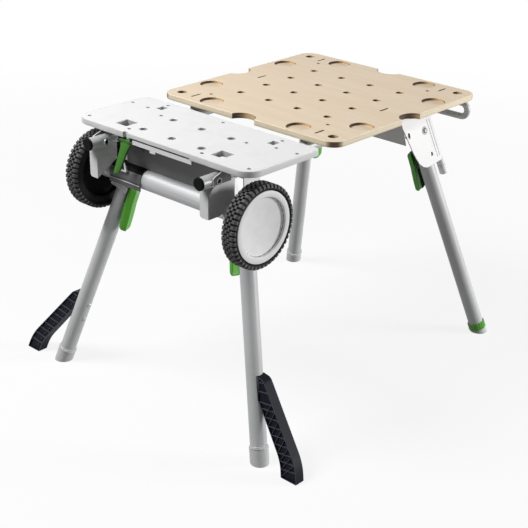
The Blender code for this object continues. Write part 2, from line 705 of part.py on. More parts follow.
def build_wheel(side, sign, black, rubber, grey):
    """Wheel that turns on its axle: a plastic hub, a lugged tyre and a dished cover."""
    centre = Vector((sign * WHEEL_X, AXLE_Y, AXLE_Z))
    axis = Vector((sign, 0, 0))
    spin = joint_empty("joint_wheel_" + side, centre)
    half = WHEEL_WIDTH / 2
    face = WHEEL_FACE
    rim = TYRE_INNER_RADIUS - GAP
    bore = AXLE_RADIUS + PIN_PLAY
    rim_wall = rim - SHEET
    boss = COVER_BACK - GAP
    profile = [(-face, bore), (-face, HUB_BOSS_RADIUS), (-HUB_WEB / 2, HUB_BOSS_RADIUS),
               (-HUB_WEB / 2, rim_wall), (-face, rim_wall), (-face, rim), (face, rim), (face, rim_wall),
               (HUB_WEB / 2, rim_wall), (HUB_WEB / 2, HUB_BOSS_RADIUS), (boss, HUB_BOSS_RADIUS), (boss, bore)]
    hub = solid("wheel_hub_" + side, lambda bm: add_lathe(bm, centre, axis, profile, 28))
    finish(hub, black, centre, spin)
    wall = COVER_RADIUS + GAP * 4
    crown = WHEEL_RADIUS - TYRE_SHOULDER
    root = WHEEL_RADIUS - LUG_DEPTH
    profile = [(-face, TYRE_INNER_RADIUS), (-face, wall), (-half, wall + SIDEWALL_INSET), (-half, crown),
               (-half + TYRE_SHOULDER, root), (half - TYRE_SHOULDER, root), (half, crown),
               (half, wall + SIDEWALL_INSET), (face, wall), (face, TYRE_INNER_RADIUS)]
    tyre = solid("tyre_" + side, lambda bm: add_lathe(bm, centre, axis, profile, 2 * LUG_COUNT))
    raise_lugs(tyre, centre, axis, half)
    finish(tyre, rubber, centre, spin)
    inner = face + GAP
    outer = COVER_FRONT
    dish = outer - COVER_DISH
    cone_back = rim_wall - GAP
    disc_back = cone_back - (inner - COVER_BACK) * COVER_SLOPE / COVER_DISH
    profile = [(COVER_BACK, 0), (COVER_BACK, disc_back), (inner, cone_back), (inner, COVER_RADIUS - CHAMFER),
               (inner + CHAMFER, COVER_RADIUS), (outer - EDGE, COVER_RADIUS), (outer, COVER_RADIUS - CHAMFER),
               (outer, COVER_RADIUS - COVER_RIM), (dish, COVER_RADIUS - COVER_RIM - COVER_SLOPE), (dish, 0)]
    cover = solid("hub_cover_" + side, lambda bm: add_lathe(bm, centre, axis, profile, 40))
    finish(cover, grey, centre, spin)


def raise_lugs(tyre, centre, axis, half):
    """Raise every second panel of the tread and its shoulders to make lugs."""
    bm = bmesh.new()
    bm.from_mesh(tyre.data)
    first, second = cross_directions(axis)
    step = math.pi / LUG_COUNT
    lugs = []
    for face in bm.faces:
        offset = face.calc_center_median() - centre
        if abs(offset.dot(axis)) > half - TYRE_SHOULDER:
            continue
        if (offset - axis * offset.dot(axis)).length < WHEEL_RADIUS - 2 * LUG_DEPTH:
            continue
        turn = math.atan2(offset.dot(second), offset.dot(first)) % (2 * math.pi)
        if int(turn / step) % 2 == 0:
            lugs.append(face)
    raised = bmesh.ops.extrude_discrete_faces(bm, faces=lugs)
    for face in raised["faces"]:
        outward = face.calc_center_median() - centre
        outward -= axis * outward.dot(axis)
        bmesh.ops.translate(bm, verts=face.verts, vec=outward.normalized() * LUG_DEPTH)
    bmesh.ops.recalc_face_normals(bm, faces=bm.faces)
    bm.to_mesh(tyre.data)
    bm.free()


def bracket_outline(site):
    """Side outline of a leg bracket in Y and Z: top corner, the fold-side edge, the foot and the leg edge."""
    f = site.fold_y
    y = site.pivot.y
    low = site.pivot.z - site.lock_radius
    top = PLATE_UNDER - SHEET
    outside = CHEEK_INSIDE + SHEET
    if site.is_front:
        web = -(LEG_RADIUS + STOP_GAP + SHEET + BRACKET_LAP)
        stop_low = site.along(outside, web, FRONT_STOP_END + BRACKET_LAP)
        stop_high = site.along(outside, web, FRONT_STOP_START - BRACKET_LAP)
        shoulder = site.pivot.z - FRONT_CHEEK_SHOULDER
        outline = [(y + f * FRONT_CHEEK_FOLD, top)]
        outline += [(y + f * fold, low - drop) for fold, drop in FRONT_CHEEK_EDGE]
        outline += [(stop_low.y, stop_low.z), (stop_high.y, stop_high.z)]
        return outline + [(y - f * FRONT_CHEEK_BACK, shoulder), (y - f * FRONT_CHEEK_BACK, top)]
    heel = site.along(outside, -LEG_RADIUS - SHEET, REAR_STOP_END)
    foot = site.along(outside, -ROLL_OFFSET, REAR_STOP_END)
    outline = [(y + f * REAR_CHEEK_FOLD, top)]
    outline += [(y + f * fold, low - drop) for fold, drop in REAR_CHEEK_EDGE]
    return outline + [(heel.y, heel.z), (foot.y, foot.z), (site.beside(foot, top), top)]


def build_bracket(site, white, black):
    """Folded sheet bracket under a rail: outer cheek, pad, inner ear, stop web and rolled edge."""
    sign = site.sign
    flange_in = RAIL_X + RAIL_RADIUS + GAP
    flange_out = flange_in + SHEET
    outside = CHEEK_INSIDE + SHEET
    top = PLATE_UNDER - SHEET
    bottom = site.pivot.z - site.lock_radius - CHEEK_SPARE
    bend_in = site.pivot.z - (flange_in - site.pivot_x - CHEEK_INSIDE * site.tilt) / site.splay_out
    bend_out = site.pivot.z - (flange_out - site.pivot_x - outside * site.tilt) / site.splay_out
    profile = [(flange_in, top), (flange_out, top), (flange_out, bend_out),
               (site.cheek_x(outside, bottom), bottom), (site.cheek_x(CHEEK_INSIDE, bottom), bottom),
               (flange_in, bend_in)]
    reach = [site.pivot.y - BRACKET_BLANK, site.pivot.y + BRACKET_BLANK]
    bracket = solid("leg_bracket_" + site.name, lambda bm: add_prism(
        bm, profile, lambda a, b, depth: Vector((sign * a, depth, b)), reach[0], reach[1]))
    spare = BRACKET_BLANK / 2
    shape = solid("shape", lambda bm: add_prism(
        bm, bracket_outline(site), upright, sign * (RAIL_X - spare), sign * (RAIL_X + spare)))
    combine(bracket, "INTERSECT", shape)
    combine(bracket, "UNION", *bracket_additions(site, flange_in))
    cutters = [solid("hinge_hole", lambda bm: add_rod(
        bm, site.at(-2 * outside, 0, 0), site.at(2 * outside, 0, 0), HINGE_PIN_RADIUS + PIN_PLAY, 14))]
    cutters.append(solid("lock_hole", lambda bm: add_rod(
        bm, site.along(0, 0, site.lock_radius), site.along(2 * outside, 0, site.lock_radius),
        LOCK_PIN_RADIUS + PIN_PLAY, 14)))
    oblong = slot(site.lock_radius, 0, FOLD_HOLE_LENGTH / 2, FOLD_HOLE_WIDTH / 2)
    cutters.append(solid("fold_hole", lambda bm: add_prism(
        bm, oblong, lambda a, b, depth: site.at(depth, a, b), 0, 2 * outside)))
    combine(bracket, "DIFFERENCE", *cutters)
    finish(bracket, white, site.pivot)
    if not site.is_front:
        build_stop_buffer(site, black)


def bracket_additions(site, flange_in):
    """Pad under the rail, inner ear, stop web and, on a rear bracket, the rolled edge."""
    sign = site.sign
    f = site.fold_y
    y = site.pivot.y
    outside = CHEEK_INSIDE + SHEET
    pad_fold = FRONT_PAD_FOLD if site.is_front else REAR_PAD_FOLD
    pad_back = FRONT_PAD_BACK if site.is_front else REAR_PAD_BACK
    inner_x = site.cheek_x(-outside, PAD_UNDER)
    corners = sorted([sign * inner_x, sign * (flange_in + SHEET / 2)])
    stations = sorted([y - f * pad_back, y + f * pad_fold])
    pad = solid("pad", lambda bm: add_box(
        bm, (corners[0], stations[0], PAD_UNDER), (corners[1], stations[1], PAD_TOP)))
    pad_down = (site.pivot.z - PAD_UNDER - SHEET / 2 - outside * site.splay_out / site.tilt) * site.tilt
    ear_outline = [(-pad_back + SHEET, pad_down), (EAR_SEAT_FOLD, pad_down)]
    ear_outline += arc(0, 0, EAR_RADIUS, 0, 180, 10)
    ear = solid("ear", lambda bm: add_prism(
        bm, ear_outline, lambda a, b, depth: site.at(depth, a, b), -outside, -CHEEK_INSIDE))
    near = -(LEG_RADIUS + STOP_GAP)
    start = FRONT_STOP_START if site.is_front else REAR_STOP_START
    end = FRONT_STOP_END if site.is_front else REAR_STOP_END
    web_outline = [(near, start), (near - SHEET, start), (near - SHEET, end), (near, end)]
    web = solid("web", lambda bm: add_prism(
        bm, web_outline, lambda a, b, depth: site.along(depth, a, b), -CHEEK_INSIDE, outside - SHEET / 2))
    pieces = [pad, ear, web]
    if not site.is_front:
        roll_top = site.along(outside - ROLL_RADIUS, -ROLL_OFFSET, -ROLL_TOP)
        roll_low = site.along(outside - ROLL_RADIUS, -ROLL_OFFSET, REAR_STOP_END)
        pieces.append(solid("roll", lambda bm: add_rod(bm, roll_top, roll_low, ROLL_RADIUS, 20)))
    return pieces


def build_stop_buffer(site, material):
    """Round buffer with a collar under the rolled edge of a rear bracket."""
    start = REAR_STOP_END + GAP
    base = site.along(CHEEK_INSIDE + SHEET - ROLL_RADIUS, -ROLL_OFFSET, start)
    body = ROLL_RADIUS - BUFFER_STEP
    profile = [(0, 0), (0, ROLL_RADIUS), (BUFFER_COLLAR, ROLL_RADIUS), (BUFFER_COLLAR, body),
               (BUFFER_LENGTH - CHAMFER, body), (BUFFER_LENGTH, body - CHAMFER), (BUFFER_LENGTH, 0)]
    buffer = solid("stop_buffer_" + site.name, lambda bm: add_lathe(bm, base, site.leg, profile, 20))
    finish(buffer, material, base)


def build_hinge_pin(site, steel):
    """Rivet through both cheeks and the leg."""
    head = CHEEK_INSIDE + SHEET + GAP
    tip = head + HINGE_HEAD_HEIGHT
    profile = [(-tip, 0), (-tip, HINGE_HEAD_RADIUS - CHAMFER), (-head, HINGE_HEAD_RADIUS),
               (-head, HINGE_PIN_RADIUS), (head, HINGE_PIN_RADIUS), (head, HINGE_HEAD_RADIUS),
               (tip, HINGE_HEAD_RADIUS - CHAMFER), (tip, 0)]
    pin = solid("leg_pivot_pin_" + site.name, lambda bm: add_lathe(bm, site.pivot, site.out, profile, 14))
    finish(pin, steel, site.pivot)


def build_leg(site, looks):
    """One leg with its foot, lock and, on a front leg, its outrigger."""
    hinge = joint_empty("joint_leg_" + site.name, site.pivot)
    adjustable = site.name == "rear_right"
    end = site.length - (ADJUSTER_SOLE if adjustable else FOOT_SOLE)
    tube = solid("leg_" + site.name, lambda bm: add_tube(
        bm, site.along(0, 0, -LEG_HEAD), site.along(0, 0, end), LEG_RADIUS, LEG_WALL))
    wide = 2 * LEG_RADIUS
    hinge_hole = solid("hinge_hole", lambda bm: add_rod(
        bm, site.at(-wide, 0, 0), site.at(wide, 0, 0), HINGE_PIN_RADIUS + PIN_PLAY, 14))
    lock = site.lock_radius
    lock_hole = solid("lock_hole", lambda bm: add_rod(
        bm, site.along(-wide, 0, lock), site.along(wide, 0, lock), LOCK_PIN_RADIUS + PIN_PLAY, 14))
    combine(tube, "DIFFERENCE", hinge_hole, lock_hole)
    finish(tube, looks["tube"], site.pivot, hinge)
    if adjustable:
        build_adjustable_foot(site, looks, hinge)
    else:
        build_foot(site, looks["light_grey"], hinge)
    build_lock(site, looks, hinge)
    if site.is_front:
        build_outrigger(site, looks["outrigger"], hinge)


def cut_at_floor(piece):
    """Cut off what lies below the floor."""
    wide = 2 * TABLE_HEIGHT
    ground = solid("ground", lambda bm: add_box(bm, (-wide, -wide, -TABLE_HEIGHT), (wide, wide, 0)))
    combine(piece, "DIFFERENCE", ground)


def build_foot(site, material, hinge):
    """Cup over the end of a leg, cut flat on the floor."""
    end = site.length - FOOT_SOLE
    top = end - FOOT_LENGTH + FOOT_SOLE
    socket = LEG_RADIUS + GAP
    low = site.length + FOOT_RADIUS
    profile = [(low, 0), (low, FOOT_RADIUS), (top + EDGE, FOOT_RADIUS), (top, FOOT_RADIUS - EDGE),
               (top, socket), (end + GAP, socket), (end + GAP, 0)]
    foot = solid("foot_" + site.name, lambda bm: add_lathe(bm, site.pivot, site.leg, profile, 24))
    cut_at_floor(foot)
    finish(foot, material, site.along(0, 0, end), hinge)


def build_adjustable_foot(site, looks, hinge):
    """Foot on a stem inside the leg, with the ring that screws it in and out."""
    end = site.length - ADJUSTER_SOLE
    stem = LEG_RADIUS - LEG_WALL - GAP
    low = site.length + FOOT_RADIUS
    sole_top = end + GAP
    profile = [(low, 0), (low, FOOT_RADIUS), (sole_top, FOOT_RADIUS), (sole_top, stem),
               (end - ADJUSTER_STEM, stem), (end - ADJUSTER_STEM, 0)]
    foot = solid("foot_" + site.name, lambda bm: add_lathe(bm, site.pivot, site.leg, profile, 24))
    cut_at_floor(foot)
    slide = joint_empty("joint_foot_" + site.name, site.along(0, 0, end), hinge)
    finish(foot, looks["light_grey"], site.along(0, 0, end), slide)
    inner = LEG_RADIUS + GAP
    high = end - ADJUSTER_HEIGHT
    profile = [(high, inner), (high, ADJUSTER_RADIUS - EDGE), (high + EDGE, ADJUSTER_RADIUS),
               (end - EDGE, ADJUSTER_RADIUS), (end, ADJUSTER_RADIUS - EDGE), (end, inner)]
    ring = solid("foot_adjuster", lambda bm: add_lathe(bm, site.pivot, site.leg, profile, 24))
    turn = joint_empty("joint_foot_adjuster", site.along(0, 0, end), hinge)
    finish(ring, looks["green"], site.along(0, 0, end), turn)


def build_lock(site, looks, hinge):
    """Spring pin lock on the inner side of a leg: housing, pin and squeeze lever."""
    lock = site.lock_radius
    top = lock - LOCK_ABOVE_PIN
    low = top + LOCK_LENGTH
    pivot = lock + LOCK_ARM
    half = LOCK_WIDTH / 2
    slot_half = LEVER_WIDTH / 2 + GAP

    def inward(depth, side, leg):
        return site.along(-depth, side, leg)

    def across(a, b, depth):
        return inward(a, depth, b)

    base = [(LEG_RADIUS / 2, top), (LOCK_BASE, top), (LOCK_BASE, low), (LEG_RADIUS / 2, low)]
    housing = solid("lock_housing_" + site.name, lambda bm: add_prism(bm, base, across, -half, half))
    ear_top = pivot - LOCK_EAR_HALF
    ear_low = pivot + LOCK_EAR_HALF
    corner = LOCK_EAR_CORNER
    root = LOCK_BASE - SHEET
    tip = LOCK_EAR_REACH
    ear = [(root, ear_top), (tip - corner, ear_top), (tip, ear_top + corner),
           (tip, ear_low - corner), (tip - corner, ear_low), (root, ear_low)]
    ear_half = half - GAP
    near_ear = solid("ear", lambda bm: add_prism(bm, ear, across, -ear_half, -slot_half))
    far_ear = solid("ear", lambda bm: add_prism(bm, ear, across, slot_half, ear_half))
    pin_start = inward(LOCK_CROSS_PIN_DEPTH, -slot_half - SHEET / 2, pivot)
    pin_end = inward(LOCK_CROSS_PIN_DEPTH, slot_half + SHEET / 2, pivot)
    cross_pin = solid("cross_pin", lambda bm: add_rod(bm, pin_start, pin_end, LOCK_CROSS_PIN_RADIUS, 12))
    combine(housing, "UNION", near_ear, far_ear, cross_pin)
    saddle = solid("saddle", lambda bm: add_rod(
        bm, site.along(0, 0, top - SHEET), site.along(0, 0, low + SHEET), LEG_RADIUS + GAP, 28))
    pin_hole = solid("pin_hole", lambda bm: add_rod(
        bm, inward(0, 0, lock), inward(2 * LOCK_BASE, 0, lock), LOCK_PIN_RADIUS + PIN_PLAY, 14))
    combine(housing, "DIFFERENCE", saddle, pin_hole)
    finish(housing, looks["dark"], site.along(0, 0, lock), hinge)

    lever_inner = LOCK_CROSS_PIN_DEPTH - LEVER_ARM_THICK / 2
    lever_outer = lever_inner + LEVER_ARM_THICK
    end = pivot + LEVER_LENGTH
    eye = LOCK_CROSS_PIN_DEPTH
    grip_inner = LEVER_END_DEPTH - LEVER_END_THICK
    shoulder = pivot + LEVER_SHOULDER_DROP
    profile = [(lever_inner, top), (lever_outer, top), (lever_outer, lock + LEVER_NOSE),
               (eye + LEVER_EYE_OUTSIDE, pivot - LEVER_EYE_HALF), (eye + LEVER_SHOULDER_OUTSIDE, shoulder),
               (LEVER_END_DEPTH, end - LEVER_END_FRONT), (LEVER_END_DEPTH - LEVER_END_CORNER, end),
               (grip_inner + LEVER_END_CORNER, end), (grip_inner, end - LEVER_END_BACK),
               (eye - LEVER_SHOULDER_INSIDE, shoulder), (eye - LEVER_EYE_INSIDE, pivot + LEVER_EYE_HALF),
               (eye - LEVER_EYE_INSIDE, pivot - LEVER_EYE_HALF)]
    lever = solid("lock_lever_" + site.name, lambda bm: add_prism(
        bm, profile, across, -LEVER_WIDTH / 2, LEVER_WIDTH / 2))
    bore_start = inward(LOCK_CROSS_PIN_DEPTH, -LEVER_WIDTH, pivot)
    bore_end = inward(LOCK_CROSS_PIN_DEPTH, LEVER_WIDTH, pivot)
    bore = solid("bore", lambda bm: add_rod(bm, bore_start, bore_end, LOCK_CROSS_PIN_RADIUS + PIN_PLAY, 12))
    fork_half = LOCK_NECK_RADIUS + PIN_PLAY
    fork_low = lock + LOCK_NECK_RADIUS + FORK_SPARE
    fork = [(0, top - SHEET), (2 * LOCK_BASE, top - SHEET), (2 * LOCK_BASE, fork_low), (0, fork_low)]
    fork_cut = solid("fork", lambda bm: add_prism(bm, fork, across, -fork_half, fork_half))
    combine(lever, "DIFFERENCE", bore, fork_cut)
    squeeze = joint_empty("joint_lock_lever_" + site.name, inward(LOCK_CROSS_PIN_DEPTH, 0, pivot), hinge)
    finish(lever, looks["green"], inward(LOCK_CROSS_PIN_DEPTH, 0, pivot), squeeze)

    tip = -(CHEEK_INSIDE - 4 * GAP)
    head = lever_outer + LOCK_HEAD_PLAY
    head_end = head + LOCK_HEAD_THICK
    profile = [(tip, 0), (tip, LOCK_PIN_RADIUS - EDGE), (tip + EDGE, LOCK_PIN_RADIUS),
               (LOCK_BASE, LOCK_PIN_RADIUS), (LOCK_BASE, LOCK_NECK_RADIUS), (head, LOCK_NECK_RADIUS),
               (head, LOCK_HEAD_RADIUS), (head_end, LOCK_HEAD_RADIUS), (head_end, 0)]
    centre = site.along(0, 0, lock)
    pin = solid("lock_pin_" + site.name, lambda bm: add_lathe(bm, centre, -site.out, profile, 14))
    pull = joint_empty("joint_lock_pin_" + site.name, centre, hinge)
    finish(pin, looks["steel"], centre, pull)


def build_outrigger(site, material, hinge):
    """Plastic prop that stands out from a front leg down to the floor."""
    foot = site.along(0, 0, site.length)
    leg_face = (LEG_RADIUS + GAP) * site.tilt

    def blade(a, b, depth):
        return Vector((foot.x + site.sign * a, foot.y + site.fold_y * (site.splay_back * b) + depth, b))

    def beside_leg(height):
        return leg_face - site.splay_out * height

    top_in = beside_leg(OUTRIGGER_TOP) - LEG_RADIUS / 2
    seat_in = beside_leg(OUTRIGGER_SEAT) - LEG_RADIUS / 2
    top_out = beside_leg(OUTRIGGER_TOP) + OUTRIGGER_TOP_WIDTH
    seat_out = beside_leg(OUTRIGGER_SEAT) + OUTRIGGER_SEAT_GAP
    outline = [(top_in, OUTRIGGER_TOP), (top_out, OUTRIGGER_TOP - OUTRIGGER_TOP_SLOPE),
               (OUTRIGGER_KNEE_OUT, OUTRIGGER_KNEE_HEIGHT), (OUTRIGGER_TOE_OUT, 0), (OUTRIGGER_HEEL_OUT, 0),
               (OUTRIGGER_HEEL_OUT - OUTRIGGER_HEEL_SLOPE, OUTRIGGER_HEEL_HEIGHT),
               (seat_out, OUTRIGGER_SEAT), (seat_in, OUTRIGGER_SEAT + OUTRIGGER_SEAT_STEP)]
    half = OUTRIGGER_THICK / 2
    prop = solid("outrigger_" + site.name, lambda bm: add_prism(bm, outline, blade, -half, half))
    leg_core = solid("core", lambda bm: add_rod(
        bm, site.along(0, 0, 0), site.along(0, 0, site.length), LEG_RADIUS + GAP, 28))
    rim = OUTRIGGER_RIM
    slant = OUTRIGGER_SLANT * rim
    recess_outline = [(top_out - rim, OUTRIGGER_TOP - OUTRIGGER_TOP_SLOPE - slant),
                      (OUTRIGGER_KNEE_OUT - slant, OUTRIGGER_KNEE_HEIGHT - rim),
                      (OUTRIGGER_TOE_OUT - slant, rim), (OUTRIGGER_HEEL_OUT + rim, rim),
                      (OUTRIGGER_HEEL_OUT, OUTRIGGER_HEEL_HEIGHT + rim),
                      (seat_out + slant, OUTRIGGER_SEAT + rim)]
    recess = solid("recess", lambda bm: add_prism(
        bm, recess_outline, blade, -OUTRIGGER_THICK, -half + OUTRIGGER_RECESS))
    combine(prop, "DIFFERENCE", leg_core, recess)
    finish(prop, material, foot, hinge)


def build_front_apron(dark):
    """Folded sheet under the front of the saw plate, standing on the cross beam."""
    panel_front = BEAM_Y - SHEET / 2
    panel_back = BEAM_Y + SHEET / 2
    low = BEAM_Z + BEAM_RADIUS + GAP
    high = PLATE_UNDER - GAP
    apron = solid("front_apron", lambda bm: add_box(
        bm, (-APRON_HALF, panel_front, low), (APRON_HALF, panel_back, high)))
    reach = panel_front - APRON_FLANGE_REACH
    flange = solid("flange", lambda bm: add_box(
        bm, (-APRON_FLANGE_LEFT, reach, high - SHEET), (APRON_FLANGE_RIGHT, BEAM_Y, high)))
    lip_low = (-APRON_FLANGE_LEFT, reach, high - APRON_LIP)
    lip_high = (APRON_FLANGE_RIGHT, reach + SHEET, high - SHEET / 2)
    lip = solid("lip", lambda bm: add_box(bm, lip_low, lip_high))
    combine(apron, "UNION", flange, lip)
    finish(apron, dark, (0, BEAM_Y, high))


def build_rear_apron(site, grey):
    """Folded sheet under the beech plate, between the inner ears of the rear brackets."""
    y = BEECH_MIDDLE_Y + REAR_APRON_FROM_BEECH_MIDDLE
    high = PLATE_UNDER - GAP
    low = high - REAR_APRON_DEPTH
    ear_face = -(CHEEK_INSIDE + SHEET + GAP)
    half_high = site.cheek_x(ear_face, high)
    half_low = site.cheek_x(ear_face, low)
    outline = [(-half_low, low), (half_low, low), (half_high, high), (-half_high, high)]
    apron = solid("rear_apron", lambda bm: add_prism(
        bm, outline, lambda a, b, depth: Vector((a, depth, b)), y - SHEET / 2, y + SHEET / 2))
    flange = solid("flange", lambda bm: add_box(
        bm, (-half_high, y, high - SHEET), (half_high, y + REAR_APRON_FLANGE, high)))
    combine(apron, "UNION", flange)
    finish(apron, grey, (0, y, high))


def build_clamp_lever(looks):
    """Green clamp lever hung in a clevis on the front apron."""
    pivot = Vector((CLAMP_X, BEAM_Y - CLAMP_PIVOT_REACH, PLATE_UNDER - CLAMP_PIVOT_DROP))
    half = CLAMP_TOP_WIDTH / 2
    panel = BEAM_Y - SHEET / 2 - GAP
    nose = CLAMP_PIN_RADIUS + SHEET
    top = PLATE_UNDER - GAP
    ear = [(panel, top), (panel, pivot.z - CLAMP_CLEVIS_DROP)] + arc(pivot.y, pivot.z, nose, 270, 90, 10)
    inner = half + GAP
    back_low = (CLAMP_X - inner - SHEET, panel - SHEET, pivot.z - CLAMP_CLEVIS_DROP)
    back_high = (CLAMP_X + inner + SHEET, panel, top)
    back = solid("clamp_clevis", lambda bm: add_box(bm, back_low, back_high))
    ears = []
    for start in (CLAMP_X - inner - SHEET, CLAMP_X + inner):
        ears.append(solid("ear", lambda bm: add_prism(bm, ear, upright, start, start + SHEET)))
    ends = (CLAMP_X - inner - SHEET / 2, CLAMP_X + inner + SHEET / 2)
    pin = solid("pin", lambda bm: add_prism(
        bm, circle(pivot.y, pivot.z, CLAMP_PIN_RADIUS, 16), upright, ends[0], ends[1]))
    combine(back, "UNION", *ears, pin)
    finish(back, looks["dark"], (CLAMP_X, panel, top))

    barrel = solid("clamp_lever", lambda bm: add_prism(
        bm, circle(pivot.y, pivot.z, CLAMP_BARREL_RADIUS, 20), upright, CLAMP_X - half, CLAMP_X + half))
    lean = Vector((0, -CLAMP_LEAN, -CLAMP_LENGTH)).normalized()
    front = Vector((0, lean.z, -lean.y))
    length = math.hypot(CLAMP_LEAN, CLAMP_LENGTH)
    end_half = CLAMP_END_WIDTH / 2
    grip_end = length - CLAMP_END_ROUND
    outline = [(-half, 0), (half, 0), (half, CLAMP_SHOULDER), (end_half, CLAMP_WAIST)]
    outline += arc(0, grip_end, end_half, 0, 180, 8)
    outline += [(-end_half, CLAMP_WAIST), (-half, CLAMP_SHOULDER)]

    def handle_place(a, b, depth):
        return pivot + Vector((a, 0, 0)) + lean * b + front * depth

    thick = CLAMP_THICK / 2
    handle = solid("handle", lambda bm: add_prism(bm, outline, handle_place, -thick, thick))
    combine(barrel, "UNION", handle)
    bore_outline = circle(pivot.y, pivot.z, CLAMP_PIN_RADIUS + PIN_PLAY, 16)
    bore = solid("bore", lambda bm: add_prism(
        bm, bore_outline, upright, CLAMP_X - 2 * half, CLAMP_X + 2 * half))
    combine(barrel, "DIFFERENCE", bore)
    finish(barrel, looks["green"], pivot, joint_empty("joint_clamp_lever", pivot))


def build_rail_end_brackets(white):
    """Folded brackets that tie the front of each rail to the cross beam."""
    front = RAIL_FRONT + END_BRACKET_FRONT_INSET
    low = RAIL_UNDER - END_BRACKET_DROP
    beam_front = BEAM_Y - BEAM_RADIUS
    for side, sign in SIDES.items():
        half = END_BRACKET_WIDTH / 2
        outer = sign * (RAIL_X + half)
        inner = sign * (RAIL_X - half)
        back = front + END_BRACKET_LENGTH
        face_low = low + END_FACE_RISE
        outer_plate = [(front, PAD_TOP), (back, PAD_TOP), (back, BEAM_Z),
                       (beam_front + END_SADDLE_IN, BEAM_Z + END_SADDLE_RISE),
                       (beam_front - END_HOOK_REACH, low - END_CORNER_RISE),
                       (front + END_CORNER, low - END_CORNER_RISE / 2), (front, low + END_CORNER_RISE)]
        gusset_back = front + END_GUSSET_LENGTH
        gusset = [(front, PAD_TOP), (gusset_back, PAD_TOP), (gusset_back, PAD_UNDER - END_GUSSET_DROP),
                  (front + END_CORNER, face_low), (front, face_low)]
        bracket = solid("rail_end_bracket_" + side, lambda bm: add_prism(
            bm, outer_plate, upright, outer, outer - sign * SHEET))
        stiffener = solid("gusset", lambda bm: add_prism(bm, gusset, upright, inner, inner + sign * SHEET))
        spans = sorted([inner, outer])
        face = solid("face", lambda bm: add_box(
            bm, (spans[0], front, face_low), (spans[1], front + SHEET, PAD_TOP)))
        pad = solid("pad", lambda bm: add_box(
            bm, (spans[0], front, PAD_UNDER), (spans[1], back, PAD_TOP)))
        combine(bracket, "UNION", stiffener, face, pad)
        beam = solid("beam", lambda bm: add_rod(
            bm, (-BEAM_HALF, BEAM_Y, BEAM_Z), (BEAM_HALF, BEAM_Y, BEAM_Z), BEAM_RADIUS + GAP, 32))
        combine(bracket, "DIFFERENCE", beam)
        finish(bracket, white, (sign * RAIL_X, front, PAD_TOP))


def build_pull_handle(grey):
    """Bent rod across the beech end, with each end turned up and in to its rail."""
    y = RAIL_BACK - HANDLE_FROM_RAIL_END
    bar_z = RAIL_Z - 2 * HANDLE_BEND
    tip = RAIL_X - HANDLE_IN_RAIL
    right = [(tip, RAIL_Z)]
    right += [(HANDLE_HALF + HANDLE_BEND * math.sin(t), RAIL_Z - HANDLE_BEND * (1 - math.cos(t)))
              for t in [math.pi * k / 10 for k in range(11)]]
    path = [Vector((x, y, z)) for x, z in right]
    path += [Vector((-x, y, z)) for x, z in reversed(right)]
    rod = solid("pull_handle", lambda bm: add_sweep(bm, path, HANDLE_RADIUS, 12))
    finish(rod, grey, (0, y, bar_z))


def main():
    """Build the whole stand."""
    for old in list(bpy.data.objects):
        bpy.data.objects.remove(old, do_unlink=True)
    beech = make_material("beech", (0.68, 0.50, 0.32), 0.55)
    laminate = make_material("grey laminate", (0.80, 0.80, 0.79), 0.45)
    white = make_material("white powder coat", (0.78, 0.79, 0.80), 0.42)
    packing = make_material("packing strip", (0.30, 0.31, 0.32), 0.60)
    rubber = make_material("tyre rubber", (0.012, 0.012, 0.013), 0.75)
    plain_black = make_material("black plastic", (0.020, 0.020, 0.022), 0.50)
    looks = {
        "tube": make_material("satin silver tube", (0.42, 0.43, 0.44), 0.40, 0.6),
        "steel": make_material("plated steel", (0.52, 0.52, 0.53), 0.32, 1.0),
        "light_grey": make_material("light grey plastic", (0.55, 0.56, 0.57), 0.50),
        "dark": make_material("dark grey coat", (0.080, 0.083, 0.088), 0.50),
        "green": make_material("green plastic", (0.080, 0.350, 0.023), 0.45),
        "outrigger": make_material("blue-black plastic", (0.014, 0.017, 0.030), 0.60),
    }
    build_beech_plate(beech)
    build_saw_plate(laminate)
    build_rails(looks["tube"], plain_black, packing)
    build_beam_and_wheels(looks["tube"], looks["steel"], plain_black, rubber, looks["light_grey"])
    for end in ("front", "rear"):
        for side in SIDES:
            site = LegSite(end, side)
            build_bracket(site, white, looks["light_grey"])
            build_hinge_pin(site, looks["steel"])
            build_leg(site, looks)
    build_front_apron(looks["dark"])
    build_rear_apron(LegSite("rear", "right"), looks["light_grey"])
    build_clamp_lever(looks)
    build_rail_end_brackets(white)
    build_pull_handle(looks["light_grey"])


main()
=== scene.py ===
"""Looks of the folding table saw stand.

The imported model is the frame: its nodes keep their places and its bodies keep their joints.
Each class below dresses one sub-assembly. It rounds the edges of the nodes that stay, builds
the finer pieces that replace the others, and adds the small hardware that the solids leave out.
"""

import json
import logging
import math
from collections.abc import Callable, Iterable, Sequence
from dataclasses import dataclass, field
from enum import Enum
from functools import cache

import bmesh
import bpy
from bpy.types import Material, Node, NodeSocket, NodeTree, Object
from mathutils import Matrix, Vector


